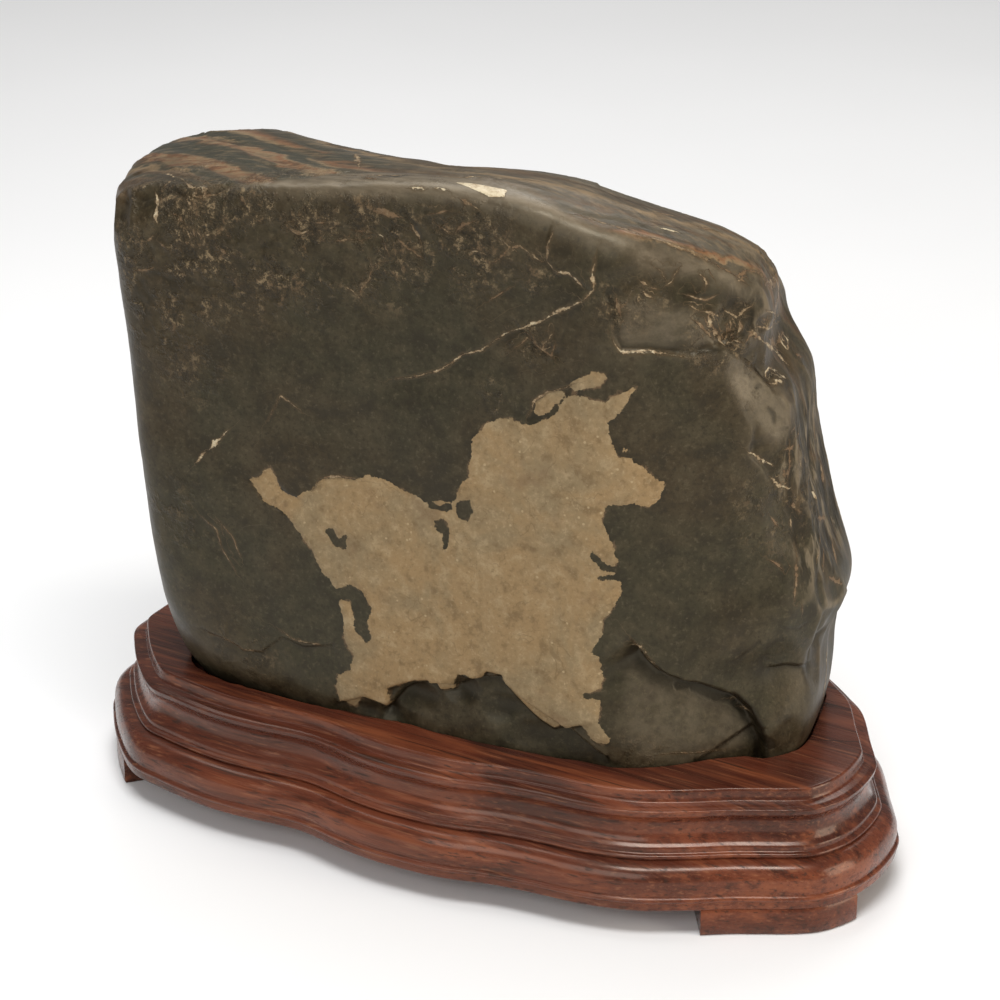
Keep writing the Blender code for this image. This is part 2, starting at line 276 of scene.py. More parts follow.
# Dark islands inside the patch, and small tan islands outside it.
PATCH_ISLANDS = [
    [(-48, 136), (-40, 141), (-33, 138.5), (-28, 130), (-30.5, 121.5), (-28.5, 113),
     (-31.5, 110.5), (-37.5, 116.5), (-38.5, 125), (-40, 131.5), (-47, 131.5)],
    [(-52.5, 167.5), (-48.5, 169), (-45.5, 163.5), (-41, 167), (-41, 159), (-47.5, 159.5)],
    [(5.5, 183), (10, 185), (13, 179.5), (12, 169.5), (9, 168), (9.5, 176), (5.5, 179)],
    [(2, 192.5), (8, 191), (14, 193.5), (14, 190), (8, 188), (2, 188.5)],
    [(17, 195), (23.5, 197), (25, 191), (22.5, 185), (17.5, 186), (16, 190.5)],
]
PATCH_SPOTS = [
    [(71.5, 261.5), (76, 266.5), (82.5, 270), (88.5, 270), (89.5, 268), (85.5, 263.5),
     (79, 261), (73.5, 259.5)],
    [(54, 246), (56.5, 252.5), (61.5, 257.5), (68, 259.5), (70, 257), (66, 252),
     (62.5, 247.5), (58, 245)],
    [(95.5, 233), (97.5, 235), (99.5, 233.5), (98, 231.5)],
]

# Veins and stains: side, full width in mm, tone (0 cream, 1 brown), then the line.
VEINS = [
    (-83, 1, 0.35, [(-15, 251.5), (-4.5, 254), (6.5, 259), (19.5, 269), (28, 272.5), (40, 282.5),
                    (51.5, 288)]),
    (-83, 1.5, 0.25, [(40, 282.5), (51.5, 288), (58.5, 292), (68.5, 299), (77.5, 304)]),
    (-83, 0.9, 0.5, [(45, 276.5), (51.5, 282.5), (58, 277.5), (63, 286)]),
    (-83, 0.8, 0.55, [(51.5, 286), (55.5, 279.5), (62, 275), (64.5, 281)]),
    (-83, 1.6, 0.3, [(-121, 191), (-116.5, 197)]),
    (-83, 2.2, 0.2, [(-113, 200), (-104, 210)]),
    (-83, 0.9, 0.5, [(-118.5, 96.5), (-108, 96), (-100, 92), (-90.5, 93)]),
    (-83, 1.3, 0.4, [(-79, 107.5), (-71, 104), (-57, 104)]),
    (-83, 0.7, 0.5, [(-120, 163), (-111.5, 156.5), (-109, 147), (-102, 136.5)]),
    (-83, 0.6, 0.5, [(-110, 162), (-103, 155), (-99, 145)]),
    (-83, 0.7, 0.45, [(-82, 219.5), (-75, 233.5), (-65, 227.5)]),
    (-83, 1, 0.4, [(52, 244), (55, 252), (61, 257), (68, 260), (72, 262)]),
    (-83, 0.9, 0.5, [(-58, 188), (-54.5, 194), (-46.5, 197), (-36, 197)]),
    (-50, 0.8, 0.25, [(31, 285.5), (33.5, 281), (46.5, 281), (67, 277)]),
    (-50, 0.7, 0.4, [(40, 137), (44, 132), (49, 124), (55, 118)]),
    ("crown", 0.8, 0.4, [(-45, -78), (-10, -73.5), (22, -67), (52, -54)]),
    (90, 1.4, 0.4, [(-96, 214), (-60, 222), (-22, 204), (8, 214), (40, 206), (70, 218)]),
    (90, 1, 0.4, [(20, 150), (34, 166), (52, 172), (60, 190)]),
    (150, 1.2, 0.4, [(-30, 250), (-12, 236), (4, 240), (22, 222)]),
    (-83, 1.6, 0.4, [(62.5, 334), (60, 327), (60, 320.5)]),
    (-83, 1.2, 0.25, [(60, 320.5), (64.5, 316.5), (70.5, 316.5), (74, 314), (76.5, 311.5)]),
    (-83, 1.4, 0.4, [(82.5, 325), (81.5, 318.5), (82.5, 310)]),
    (-83, 1.2, 0.3, [(82.5, 310), (80, 306.5), (78, 304)]),
    (-83, 1.5, 0.55, [(91.5, 307), (92.5, 302), (93.5, 297)]),
    (-83, 1.1, 0.35, [(102, 313.5), (104, 312)]),
    (-83, 0.8, 0.4, [(102.5, 309), (106.5, 305.5)]),
    (-83, 0.9, 0.35, [(108, 318.5), (109.5, 317.5), (110.5, 315)]),
    (-83, 0.8, 0.35, [(112, 311.5), (114, 313), (114.5, 315.5), (116, 318)]),
    (-83, 0.7, 0.45, [(105.5, 310.5), (108.5, 309.5)]),
    (-83, 0.7, 0.4, [(125, 315.5), (127.5, 312), (127.5, 309)]),
    (-83, 1.8, 0.62, [(-27.5, 331.5), (-22, 331.5), (-17, 331), (-12.5, 331)]),
    (-83, 1.3, 0.6, [(-25.5, 333), (-19, 333)]),
    (-83, 1.1, 0.55, [(-45.5, 315), (-39, 316), (-33, 316.5), (-27.5, 319)]),
    (-83, 1.8, 0.85, [(-38, 321), (-34, 320.5), (-29, 322.5)]),
    (-83, 1, 0.15, [(-23.5, 321), (-21.5, 320)]),
    (-83, 0.9, 0.5, [(-21.5, 317.5), (-19, 312.5)]),
    (-83, 1.2, 0.5, [(-7.5, 328), (-3.5, 322.5), (-2.5, 317)]),
    (-83, 1.2, 0.6, [(-13.5, 320), (-9.5, 317), (-5.5, 314.5), (-2, 312.5)]),
    (-83, 1.3, 0.5, [(16.5, 343), (21.5, 341.5), (26.5, 339.5)]),
    (-83, 1.1, 0.6, [(1, 334), (5.5, 335.5), (10, 337)]),
    (-83, 1, 0.6, [(5.5, 329.5), (8.5, 328.5), (11, 327)]),
    (-83, 1.2, 0.6, [(15, 328), (18.5, 332), (24.5, 334.5)]),
    (-83, 0.8, 0.45, [(-28, 309), (-27, 304.5), (-23, 307.5), (-19.5, 308.5)]),
    (-83, 0.8, 0.5, [(-27, 304.5), (-28.5, 298), (-32.5, 293), (-34, 289)]),
    (-83, 0.9, 0.4, [(-40.5, 293), (-37, 291.5), (-33.5, 288.5)]),
    (-83, 0.8, 0.35, [(22, 319.5), (25.5, 320), (29.5, 319.5)]),
    (-83, 0.9, 0.45, [(35, 329.5), (39.5, 326.5), (43, 325), (47.5, 326.5), (52.5, 323),
                      (57.5, 320)]),
    (-83, 1, 0.55, [(43, 325), (38, 320), (34, 316)]),
    (-83, 0.7, 0.6, [(32.5, 298), (42.5, 305.5)]),
    (-110, 1.7, 0.3, [(-92, 321), (-88, 318), (-87, 313.5), (-85, 310.5)]),
    (-110, 1.5, 0.45, [(-73.5, 322.5), (-70, 319.5), (-68.5, 315)]),
    (-110, 2, 0.5, [(-78.5, 316), (-75.5, 314.5), (-73, 313)]),
    (-83, 0.9, 0.4, [(-123, 308.5), (-121, 305.5)]),
    (-83, 0.9, 0.4, [(-119.5, 310), (-119, 307)]),
    (-83, 0.8, 0.4, [(-117.5, 309.5), (-116, 307.5)]),
    (-83, 0.8, 0.5, [(-113.5, 307.5), (-110.5, 309.5)]),
    (-83, 1.3, 0.55, [(-144, 301), (-141.5, 303)]),
    (-83, 1.3, 0.5, [(-137.5, 300.5), (-135.5, 299)]),
    (-83, 1.2, 0.6, [(-152.5, 284), (-146, 285.5), (-142, 287)]),
    (-83, 1.8, 0.6, [(-104.5, 302), (-102.5, 301)]),
    (-83, 1.3, 0.7, [(-102, 310.5), (-100.5, 309)]),
    (-83, 1, 0.5, [(-70, 320.5), (-65.5, 321.5), (-63, 322.5)]),
    (-83, 1.3, 0.45, [(-69, 317), (-65, 315.5), (-59.5, 317)]),
    (-83, 0.8, 0.6, [(-56, 322), (-51, 323)]),
    ("crown", 1.1, 0.3, [(-145.5, -73), (-134.5, -80.5), (-125.5, -86), (-113, -95.5),
                         (-109, -96.5)]),
    ("crown", 0.9, 0.4, [(-109, -96.5), (-102.5, -95), (-94.5, -94)]),
    ("crown", 0.9, 0.5, [(-145, -65.5), (-135.5, -72), (-122, -83)]),
    ("crown", 1.3, 0.15, [(1, -83), (4.5, -82.5), (8, -82.5)]),
    ("crown", 1.2, 0.15, [(12.5, -81), (16, -81), (19, -81)]),
    ("crown", 0.9, 0, [(107, -44.5), (111.5, -41.5), (116, -39)]),
    ("crown", 2.6, 0.4, [(-58, -36.5), (-49.5, -48.5), (-42, -59)]),
    ("crown", 2, 0.8, [(-25.5, -80), (-21.5, -80), (-18.5, -80.5)]),
    ("crown", 1.1, 0.5, [(78, -67.5), (88.5, -63.5), (106, -58), (122, -49), (134, -41),
                         (145, -34)]),
    ("crown", 1.0, 0.58, [(132.5, -42.5), (143, -35), (149, -13.5)]),
    ("crown", 0.8, 0.35, [(143.5, -35.5), (146.5, -31.5)]),
    ("crown", 1.3, 0.5, [(149.5, -17.5), (138.5, 28.5)]),
    ("crown", 1.0, 0.6, [(100, -29.5), (105, -24.5), (109, -19)]),
    ("crown", 1.2, 0.6, [(113, -24), (118.5, -22.5), (123.5, -16.5)]),
    (-50, 1, 0.4, [(65, 301.5), (69.5, 299), (75, 297.5), (79, 295)]),
    (-50, 0.9, 0.45, [(64, 306.5), (72, 303.5), (77, 305.5)]),
    (-30, 1.5, 0.4, [(27, 296), (28.5, 291.5), (33.5, 285), (35, 281)]),
    (-30, 1, 0.55, [(21.5, 294), (25, 290.5), (29.5, 285)]),
    (-30, 1.2, 0.35, [(36, 297), (40, 294), (42, 293), (46, 296), (49, 298)]),
    (-30, 1, 0.5, [(36, 290.5), (37.5, 284.5), (37, 282)]),
    (-30, 1, 0.55, [(38.5, 293.5), (38.5, 287.5), (40, 283.5)]),
    (-30, 1.1, 0.45, [(43, 291), (42.5, 287.5), (41, 283.5)]),
    (-30, 1.1, 0.4, [(36.5, 281.5), (40.5, 282.5), (45, 280.5), (47.5, 283)]),
    (-30, 1.1, 0.35, [(51, 287.5), (56.5, 285), (75.5, 275.5), (92, 270), (72.5, 284.5),
                      (57.5, 293.5)]),
    (-30, 0.8, 0.5, [(55, 290.5), (59, 287.5), (59.5, 290.5)]),
    (-30, 2.2, 0.5, [(47.5, 283.5), (50, 284.5), (53.5, 280.5)]),
    (-30, 1.9, 0.3, [(49.5, 285.5), (56, 279), (74.5, 264.5), (82.5, 257), (86, 253)]),
    (-30, 1.3, 0.3, [(88.5, 264), (88.5, 260), (90.5, 257), (95, 258.5), (93.5, 261.5)]),
    (-30, 1.1, 0.15, [(59.5, 259.5), (59, 262), (61.5, 263), (69, 259)]),
    (-30, 0.9, 0.15, [(69.5, 257.5), (74, 254.5)]),
    (-30, 0.9, 0.2, [(63.5, 258), (70, 254.5)]),
    (-30, 1, 0.3, [(60.5, 257), (65, 256)]),
    (-30, 1.2, 0.7, [(96.5, 253), (101.5, 249.5)]),
    (-30, 1.7, 0.45, [(109, 229.5), (109.5, 221)]),
    (-30, 1.3, 0.5, [(108, 217.5), (107, 207.5)]),
    (-30, 0.8, 0.2, [(82, 248.5), (81.5, 244.5), (81, 241.5)]),
    (-30, 0.8, 0.4, [(69, 233.5), (72.5, 234.5)]),
    (-30, 0.8, 0.5, [(72, 228.5), (83.5, 229)]),
    (-30, 1.2, 0.6, [(64.5, 226), (70.5, 226.5)]),
    (-30, 1.2, 0.45, [(74.5, 225), (73.5, 218)]),
    (-30, 0.8, 0.3, [(75.5, 216.5), (76.5, 212.5)]),
    (-30, 0.8, 0.4, [(94, 203.5), (95.5, 198.5)]),
    (-30, 1.1, 0.65, [(66.5, 230), (67.5, 214.5), (66.5, 207)]),
    (-30, 1.5, 0.25, [(45, 228.5), (50, 224.5), (57.5, 219.5)]),
    (-30, 1.4, 0.25, [(57.5, 213), (61.5, 208.5), (65.5, 206.5), (68, 205)]),
    (-30, 3.4, 0.62, [(64, 215.5), (65.5, 211.5)]),
    (-30, 4, 0.5, [(109, 195.5), (109.5, 187.5)]),
    (-30, 2, 0.15, [(89, 194), (93.5, 187.5)]),
    (-30, 2.2, 0.5, [(69, 196), (71.5, 195)]),
    (-30, 1.4, 0.62, [(73, 192.5), (75, 191)]),
    (-30, 2, 0.62, [(58, 192.5), (60.5, 188.5)]),
    (-30, 1.6, 0.62, [(90.5, 181.5), (105, 172.5)]),
    (-30, 1.3, 0.3, [(68.5, 189.5), (68.5, 186)]),
    (-30, 1.4, 0.6, [(69.5, 177.5), (69.5, 162.5), (68, 150.5)]),
    (-30, 0.8, 0.35, [(86, 169), (83, 165)]),
    (-30, 0.9, 0.4, [(92, 166.5), (90.5, 160.5), (89, 157)]),
    (-30, 0.9, 0.6, [(90, 174.5), (88, 170.5)]),
    (-30, 0.8, 0.6, [(56.5, 172), (60.5, 169), (62.5, 166)]),
    (-30, 0.8, 0.4, [(71.5, 146.5), (72, 143)]),
    (-30, 2, 0.6, [(106.5, 160), (104.5, 153.5)]),
    (-30, 2.2, 0.6, [(94, 152), (103.5, 145)]),
    (-30, 1, 0.35, [(110.5, 106), (104, 99.5), (102, 90), (98.5, 81)]),
    (-50, 1.4, 0.3, [(42, 132.5), (45, 132), (50.5, 124.5)]),
    (-50, 0.9, 0.45, [(90.5, 97), (93, 97)]),
    (-50, 1.2, 0.35, [(95.5, 92.5), (99, 91.5)]),
    (-50, 0.7, 0.5, [(54.5, 75), (64.5, 74.5), (75, 73.5), (87.5, 72)]),
]

# Dark cracks, with painted shade along the steps and a wide painted shadow under the overhang:
# side, full width in mm, then the line.
CRACKS_AND_SHADE = [
    (-83, 1.2, [(-6, 330), (-3.5, 324), (-1, 317)]),
    (-83, 1.6, [(25.5, 338.5), (27.5, 334.5)]),
    (-50, 1.6, [(50.5, 124.5), (56.5, 116), (65, 114.5)]),
    # These three wide rows are the shadow under the overhang, painted dark.
    (-50, 8, [(63, 107), (70.5, 109), (82.5, 100.5), (90.5, 99), (97, 93.5), (101.5, 89.5)]),
    (-50, 3, [(99, 96), (102, 89), (104.5, 82)]),
    (-50, 5, [(104.5, 80.5), (108, 75.5), (111, 72.5)]),
    (-50, 1.2, [(82.5, 74), (92.5, 79), (101.5, 83.5)]),
    (-50, 0.8, [(91.5, 122), (97, 127), (102, 131.5)]),
    (-50, 1, [(75.5, 104.5), (80.5, 99.5), (83, 95.5)]),
    (-30, 2.8, [(48.5, 297.5), (49, 293.5), (47.5, 289.5), (45.5, 285.5), (43, 283.5)]),
    (-30, 1.4, [(21.5, 278), (26.5, 279.5), (32, 279.5)]),
    (-30, 1, [(64.5, 114.5), (71.5, 113), (79, 110)]),
    (-30, 1, [(59.5, 138), (71, 134), (77, 137)]),
    (-30, 1.8, [(28, 293), (31, 288.5), (32, 284.5)]),
    (-30, 2, [(67.5, 185.5), (70, 177.5), (71.5, 171.5)]),
    (-30, 2, [(61, 261), (63.5, 259)]),
    (-30, 1.2, [(65.5, 230), (67, 214.5)]),
    (-30, 1.3, [(77.5, 212), (79.5, 203.5), (83.5, 197)]),
    (-30, 1.4, [(99.5, 193.5), (106.5, 179.5)]),
    (-30, 1.4, [(99, 165), (98, 159.5), (98, 152.5)]),
    (-30, 1, [(80.5, 155.5), (83.5, 155.5)]),
    (-30, 1, [(55.5, 248), (58.5, 244), (58.5, 239.5)]),
    (-30, 0.8, [(50, 258), (53.5, 258.5)]),
    (-30, 0.9, [(62, 236), (66.5, 236.5)]),
    ("crown", 1.4, [(-20.5, -75), (-11, -76), (-5, -72)]),
]

# Lenses of the crown: plan width in mm, then the middle line in plan.
GREEN_LENSES = [
    (15, [(-176, -34), (-164.5, -37.5), (-142.5, -41), (-114, -56.5), (-85.5, -73.5), (-58, -80)]),
    (10, [(-136, -28), (-125.5, -31), (-96, -36), (-62, -49), (-29, -44)]),
    (9, [(-134, -66), (-128, -70), (-106, -85.5), (-86, -95)]),
]
RED_LENSES = [
    (14, [(-184, -36), (-165, -46), (-135.5, -59.5), (-105.5, -73.5), (-74, -90)]),
    (7, [(-160, -24), (-153.5, -25.5), (-128, -36.5), (-98.5, -56.5), (-80, -64.5), (-48, -74)]),
]

# Paler ground, partly real wear and partly painted sheen and painted light: the crown's front
# ridge, the flake, the recess under the overhang and the facet at the right. Side, strength, then
# the outline.
WORN_AND_SHEEN = [
    ("crown", 1.0, [(-109, -94), (-95, -92), (-75.5, -89), (-51.5, -77), (-14, -68), (22.5, -66),
                    (59, -66), (92, -66), (92, -73), (65, -77), (36.5, -81.5), (11.5, -85),
                    (-13, -88), (-43, -91), (-72.5, -93), (-106, -95)]),
    ("crown", 0.8, [(86, -69), (108, -60), (129, -43), (145, -30), (148, -38), (132, -50),
                    (110, -67), (88, -75)]),
    (-50, 0.42, [(31, 285.5), (33.5, 281), (46.5, 281), (67, 277), (82, 282), (78, 290), (66, 300),
                 (50, 306), (36, 306)]),
    (-50, 0.30, [(42, 128), (50, 119), (64, 110), (84, 99), (98, 90), (101, 80), (96, 72), (70, 68),
                 (45, 72), (36, 90), (38, 118)]),
    (-30, 0.7, [(34, 280), (44, 272), (52, 262), (50, 252), (42, 250), (36, 262)]),
    (-30, 0.4, [(34, 276), (43, 269), (58, 259), (70, 255), (74, 240), (66, 228), (56, 229),
                (44, 250), (37, 264)]),
]

# A bright cream sliver in the crown, in plan: partly a pale mark, partly a painted glare.
CROWN_GLARE_SLIVER = [(19, -75), (29, -72.6), (45, -71), (46.5, -76.5), (40, -78.6), (31, -77.6)]

# The layers show on the crown as bands that follow LAYER_LINE in plan, in mm, and
# stop short of the smooth front ridge at BAND_FRONT.
LAYER_LINE = [(-190, -4), (-139, -22), (-101, -38), (-57, -62), (-26, -75), (10, -79),
              (45, -77), (72, -71), (91, -66), (108, -58), (130, -44), (150, -22),
              (190, 20)]
LAYER_PITCH = 15.0
BAND_FRONT = [(-200, -80), (-152, -70), (-124, -88), (-108, -94), (-75, -90), (-58, -84),
              (-47, -76), (-30, -70), (22, -68), (60, -68), (77, -71), (91, -68),
              (108, -61), (130, -47), (150, -27), (190, 15)]

# Where tan crumbs lie in the surface: place and reach in mm, and strength.
CRUMBS = [
    ((-118, -102, 305), 44, 1.0), ((-66, -97, 312), 40, 0.95), ((-15, -90, 318), 34, 0.8),
    ((30, -84, 322), 28, 0.75), ((62, -84, 280), 12, 0.9), ((105, -64, 303), 20, 0.7),
    ((140, -44, 286), 17, 1.0), ((152, -30, 262), 14, 0.7), ((-110, -104, 240), 30, 0.4),
    ((-120, -100, 270), 36, 0.6), ((66, -80, 312), 16, 0.5), ((50, -84, 252), 12, 0.7),
    ((-122, -99, 160), 30, 0.4), ((-86, -100, 92), 26, 0.4), ((160, -12, 200), 40, 0.5),
    ((120, -70, 76), 22, 0.35), ((60, 80, 220), 60, 0.5), ((-90, 70, 150), 60, 0.5),
]

# ---------------------------------------------------------------- the stand
SEAT_GAP = 0.6 * MM
SEAT_FLOOR = 58.2 * MM
APRON_BOTTOM = 14 * MM
FOOT_DEPTH = 24 * MM
TOP_HEIGHT = 69.0 * MM

# Plan of the bead half-way down, in mm, walked counter-clockwise from the left end.
STAND_PLAN = [
    (-187, -20), (-187.5, -46), (-186.5, -62), (-178, -75.5), (-162, -94.5),
    (-143, -111), (-126, -115.5), (-108, -118.5), (-90, -120), (-72, -119),
    (-57, -117), (-43, -116), (-30, -117.5), (-14, -120.5), (4, -122),
    (18, -121.5), (32, -120.5), (45, -118), (58, -114), (72, -111), (88, -108.7),
    (104, -107), (120, -103.5), (133, -99), (144, -93), (156, -85.5), (170, -76),
    (183, -68.5), (196, -61), (205, -53.5), (211.5, -41), (214.5, -27),
    (214.6, -12), (212.6, 0), (208, 8.5), (200, 21), (185, 45), (171, 58),
    (156, 70), (138, 82), (118, 91), (95, 97), (65, 101), (35, 101), (5, 98),
    (-20, 97), (-45, 99), (-72, 102), (-100, 101), (-128, 96), (-152, 86),
    (-170, 70), (-182, 45), (-186, 15),
]


# Moulding as (out from the bead line, height) in mm, from the top edge down.
STAND_PROFILE = [
    (-11.0, 69.0), (-10.3, 68.85), (-9.8, 68.4), (-9.6, 67.6), (-9.2, 65.4), (-8.9, 63.6),
    (-8.5, 63.0), (-7.6, 62.75), (-5.2, 62.25), (-3.9, 61.95), (-3.5, 61.55),
    (-3.0, 61.5), (-2.5, 61.25), (-2.3, 60.75), (-2.45, 60.2), (-2.7, 59.6),
    (-2.8, 58.4), (-3.3, 57.6), (-4.4, 56.7), (-5.3, 54.8), (-5.8, 52.4), (-5.9, 50.2),
    (-5.6, 48.0), (-4.9, 46.0), (-4.0, 44.4), (-2.9, 43.3), (-1.8, 42.7), (-1.4, 42.3),
    (-1.3, 41.2), (-1.25, 39.8), (-0.8, 39.35), (0.1, 39.25), (0.8, 38.8), (1.05, 38.1),
    (0.85, 37.4), (0.3, 36.95), (0.15, 36.6), (0.7, 36.35), (2.2, 36.1), (3.9, 35.5),
    (5.6, 34.5), (7.1, 32.9), (8.2, 31.0), (8.9, 28.8), (9.2, 26.4), (9.25, 23.8),
    (9.1, 21.9), (9.05, 21.2), (9.5, 21.0), (10.1, 20.6), (10.45, 20.0), (10.4, 19.2),
    (9.95, 18.6), (9.45, 18.2), (9.4, 17.4), (9.5, 14.9), (9.3, 14.3), (8.9, 14.0),
]

# Where the joint between two boards crosses the top, in plan.
SEAM = [(177, -6), (197, 3)]

# Feet as spans of the outline, given by the plan point where each starts and ends.
FEET = {
    "left_front": ((-186.5, -40), (-153, -103)),
    "right_front": ((157.5, -84), (212, -40)),
    "right_back": ((192, 34), (138, 82)),
    "left_back": ((-128, 96), (-182, 45)),
}


# ---------------------------------------------------------------- rock shaping
def facing(azimuth, elevation=0.0):
    turn = math.radians(azimuth)
    tilt = math.radians(elevation)
    level = math.cos(tilt)
    return np.array((math.cos(turn) * level, math.sin(turn) * level, math.sin(tilt)))


def smooth_step(value):
    value = np.clip(value, 0.0, 1.0)
    return value * value * (3.0 - 2.0 * value)


def unit(vectors):
    return vectors / np.linalg.norm(vectors, axis=1)[:, None]


def block_places(directions, hardness):
    """Places on the rounded block between the weathered faces."""
    total = np.zeros(len(directions))
    for azimuth, elevation, distance in ROCK_FACES.values():
        nearness = directions @ facing(azimuth, elevation) / (distance * MM)
        total += np.maximum(nearness, 0.0) ** hardness
    return ROCK_CENTRE + directions * (total ** (-1.0 / hardness))[:, None]


def block_normals(directions, hardness):
    """Outward normals of the rounded block, along each direction."""
    slope = np.zeros(directions.shape)
    for azimuth, elevation, distance in ROCK_FACES.values():
        look = facing(azimuth, elevation)
        nearness = np.maximum(directions @ look / (distance * MM), 0.0)
        slope += (nearness ** (hardness - 1.0) / distance)[:, None] * look
    return unit(slope)


def side_position(places, azimuth):
    """Distance to the right and height in mm, as seen from one side; the crown's
    places are in plan."""
    if azimuth == "crown":
        return places[:, :2] / MM
    turn = math.radians(azimuth)
    right = places[:, 1] * math.cos(turn) - places[:, 0] * math.sin(turn)
    return np.stack((right, places[:, 2]), axis=1) / MM


def turned_to(normals, azimuth):
    """How squarely the surface faces one side, or up for the crown."""
    if azimuth == "crown":
        return normals[:, 2]
    return normals @ facing(azimuth)


def nearest_on_line(points, line, closed=False):
    """Signed distance (plus is right of the walk), overshoot past the ends and the
    share of the line walked, for each point."""
    corners = [np.array(corner, dtype=float) for corner in line]
    if closed:
        corners.append(corners[0])
    best = np.full(len(points), 1e9)
    signed = np.full(len(points), 1e9)
    beyond = np.zeros(len(points))
    share = np.zeros(len(points))
    last = len(corners) - 2
    for index in range(last + 1):
        start = corners[index]
        along = corners[index + 1] - start
        length = np.linalg.norm(along)
        along = along / length
        offset = points - start
        travel = offset @ along
        past = np.zeros(len(points))
        if index == 0 and not closed:
            past = np.maximum(-travel, past)
        if index == last and not closed:
            past = np.maximum(travel - length, past)
        nearest = np.clip(travel, 0.0, length)
        distance = np.linalg.norm(offset - nearest[:, None] * along, axis=1)
        right = offset[:, 0] * along[1] - offset[:, 1] * along[0]
        closer = distance < best
        best[closer] = distance[closer]
        signed[closer] = np.where(right < 0, -distance, distance)[closer]
        beyond[closer] = past[closer]
        share[closer] = (index + nearest[closer] / length) / (last + 1)
    return signed, beyond, share


def outline_depth(points, outline):
    """Distance in mm to a closed outline, plus inside it."""
    signed, _beyond, _share = nearest_on_line(points, outline, closed=True)
    inside = np.zeros(len(points), dtype=bool)
    count = len(outline)
    for index in range(count):
        ax, ay = outline[index]
        bx, by = outline[(index + 1) % count]
        crosses = (ay > points[:, 1]) != (by > points[:, 1])
        if ay != by:
            at = ax + (points[:, 1] - ay) * (bx - ax) / (by - ay)
            inside ^= crosses & (points[:, 0] < at)
    return np.where(inside, 1.0, -1.0) * np.abs(signed)


def patch_depth(places, normals):
    """How deep in mm each place lies inside the tan patch, minus outside it."""
    points = side_position(places, PATCH_SIDE)
    depth = outline_depth(points, PATCH)
    for island in PATCH_ISLANDS:
        depth = np.minimum(depth, -outline_depth(points, island))
    for spot in PATCH_SPOTS:
        depth = np.maximum(depth, outline_depth(points, spot))
    away = normals @ facing(PATCH_SIDE) < 0.1
    depth[away] = -60.0
    return np.clip(depth, -60.0, 60.0)


def tapered(width, share):
    """Half the width of a line, narrowing towards both of its ends."""
    return 0.5 * width * (0.35 + 0.65 * np.minimum(1.0, 4.0 * np.minimum(share, 1.0 - share)))


def vein_distance(places, normals):
    """Signed distance in mm to the nearest vein, its half width there and its tone."""
    best = np.full(len(places), 60.0)
    half_width = np.zeros(len(places))
    tone = np.zeros(len(places))
    for side, width, shade, line in VEINS:
        signed, beyond, share = nearest_on_line(side_position(places, side), line)
        distance = np.abs(signed)
        distance[turned_to(normals, side) < 0.2] = 60.0
        closer = distance - 0.5 * width < np.abs(best) - half_width
        best[closer] = signed[closer]
        near = np.clip(1.4 - beyond, 0.0, 1.0) * np.clip(2.6 + 0.5 * width - distance, 0.0, 1.0)
        half_width[closer] = (tapered(width, share) * near)[closer]
        tone[closer] = shade
    # The cream sliver, painted as a vein; partly a painted glare.
    glare_sliver = outline_depth(side_position(places, "crown"), CROWN_GLARE_SLIVER)
    close = (glare_sliver > -2.5) & (turned_to(normals, "crown") > 0.2)
    best[close] = 0.0
    half_width[close] = np.clip(4.0 * glare_sliver[close], -8.0, 16.0)
    tone[close] = 0.1
    return best, half_width, tone


def line_depth(places, normals, rows):
    """How deep in mm each place lies inside the nearest of some tapered lines."""
    depth = np.full(len(places), -30.0)
    for side, width, line in rows:
        signed, beyond, share = nearest_on_line(side_position(places, side), line)
        inside = tapered(width, share) - np.abs(signed) - beyond
        inside[turned_to(normals, side) < 0.15] = -30.0
        depth = np.maximum(depth, inside)
    return depth


def wear_and_sheen_share(places, normals):
    """How pale the ground is painted, 0 to 1: partly real wear, partly painted sheen and light."""
    worn = np.zeros(len(places))
    for side, strength, outline in WORN_AND_SHEEN:
        depth = outline_depth(side_position(places, side), outline)
        share = smooth_step((depth + 3.0) / 8.0)
        share *= smooth_step((turned_to(normals, side) - 0.05) / 0.40)
        worn = np.maximum(worn, strength * share)
    return worn


def ribbed_share(places, broken):
    """Where the broken end is drawn into upright ribs."""
    band = smooth_step((places[:, 2] - 0.146) / 0.02) * smooth_step((0.246 - places[:, 2]) / 0.02)
    chips = np.linalg.norm(places / MM - np.array((143, -42, 290)), axis=1)
    return broken * np.maximum(band, 0.8 * smooth_step((24.0 - chips) / 10.0))


def ledge_relief(places, normals, side, drop, run, line, edge=2.0):
    signed, beyond, _share = nearest_on_line(side_position(places, side), line)
    fall = smooth_step((signed + 0.4 * edge) / edge)
    fade = np.clip(1.0 - signed / run, 0.0, 1.0) ** 1.4
    lip = 0.05 * np.exp(-(signed / 6.0) ** 2) * (signed < 0)
    towards = smooth_step((normals @ facing(side) - 0.05) / 0.45)
    ends = smooth_step(1.0 - beyond / 14.0)
    return drop * MM * (lip - fall * fade) * towards * ends


def lump_relief(places, centre, radii, height):
    reach = (places - np.array(centre) * MM) / (np.array(radii) * MM)
    return height * MM * np.exp(-np.sum(reach * reach, axis=1))


def scoop_relief(places, normals):
    """The deepest of the scooped chips at each place, so their rims stay crisp."""
    deepest = np.zeros(len(places))
    for side, right, height, across, up, depth in SCOOPS:
        points = side_position(places, side) - np.array((right, height))
        reach = (points[:, 0] / across) ** 2 + (points[:, 1] / up) ** 2
        seen = smooth_step((normals @ facing(side) - 0.15) / 0.3)
        deepest = np.maximum(deepest, depth * seen * np.maximum(0.0, 1.0 - reach))
    return -deepest * MM


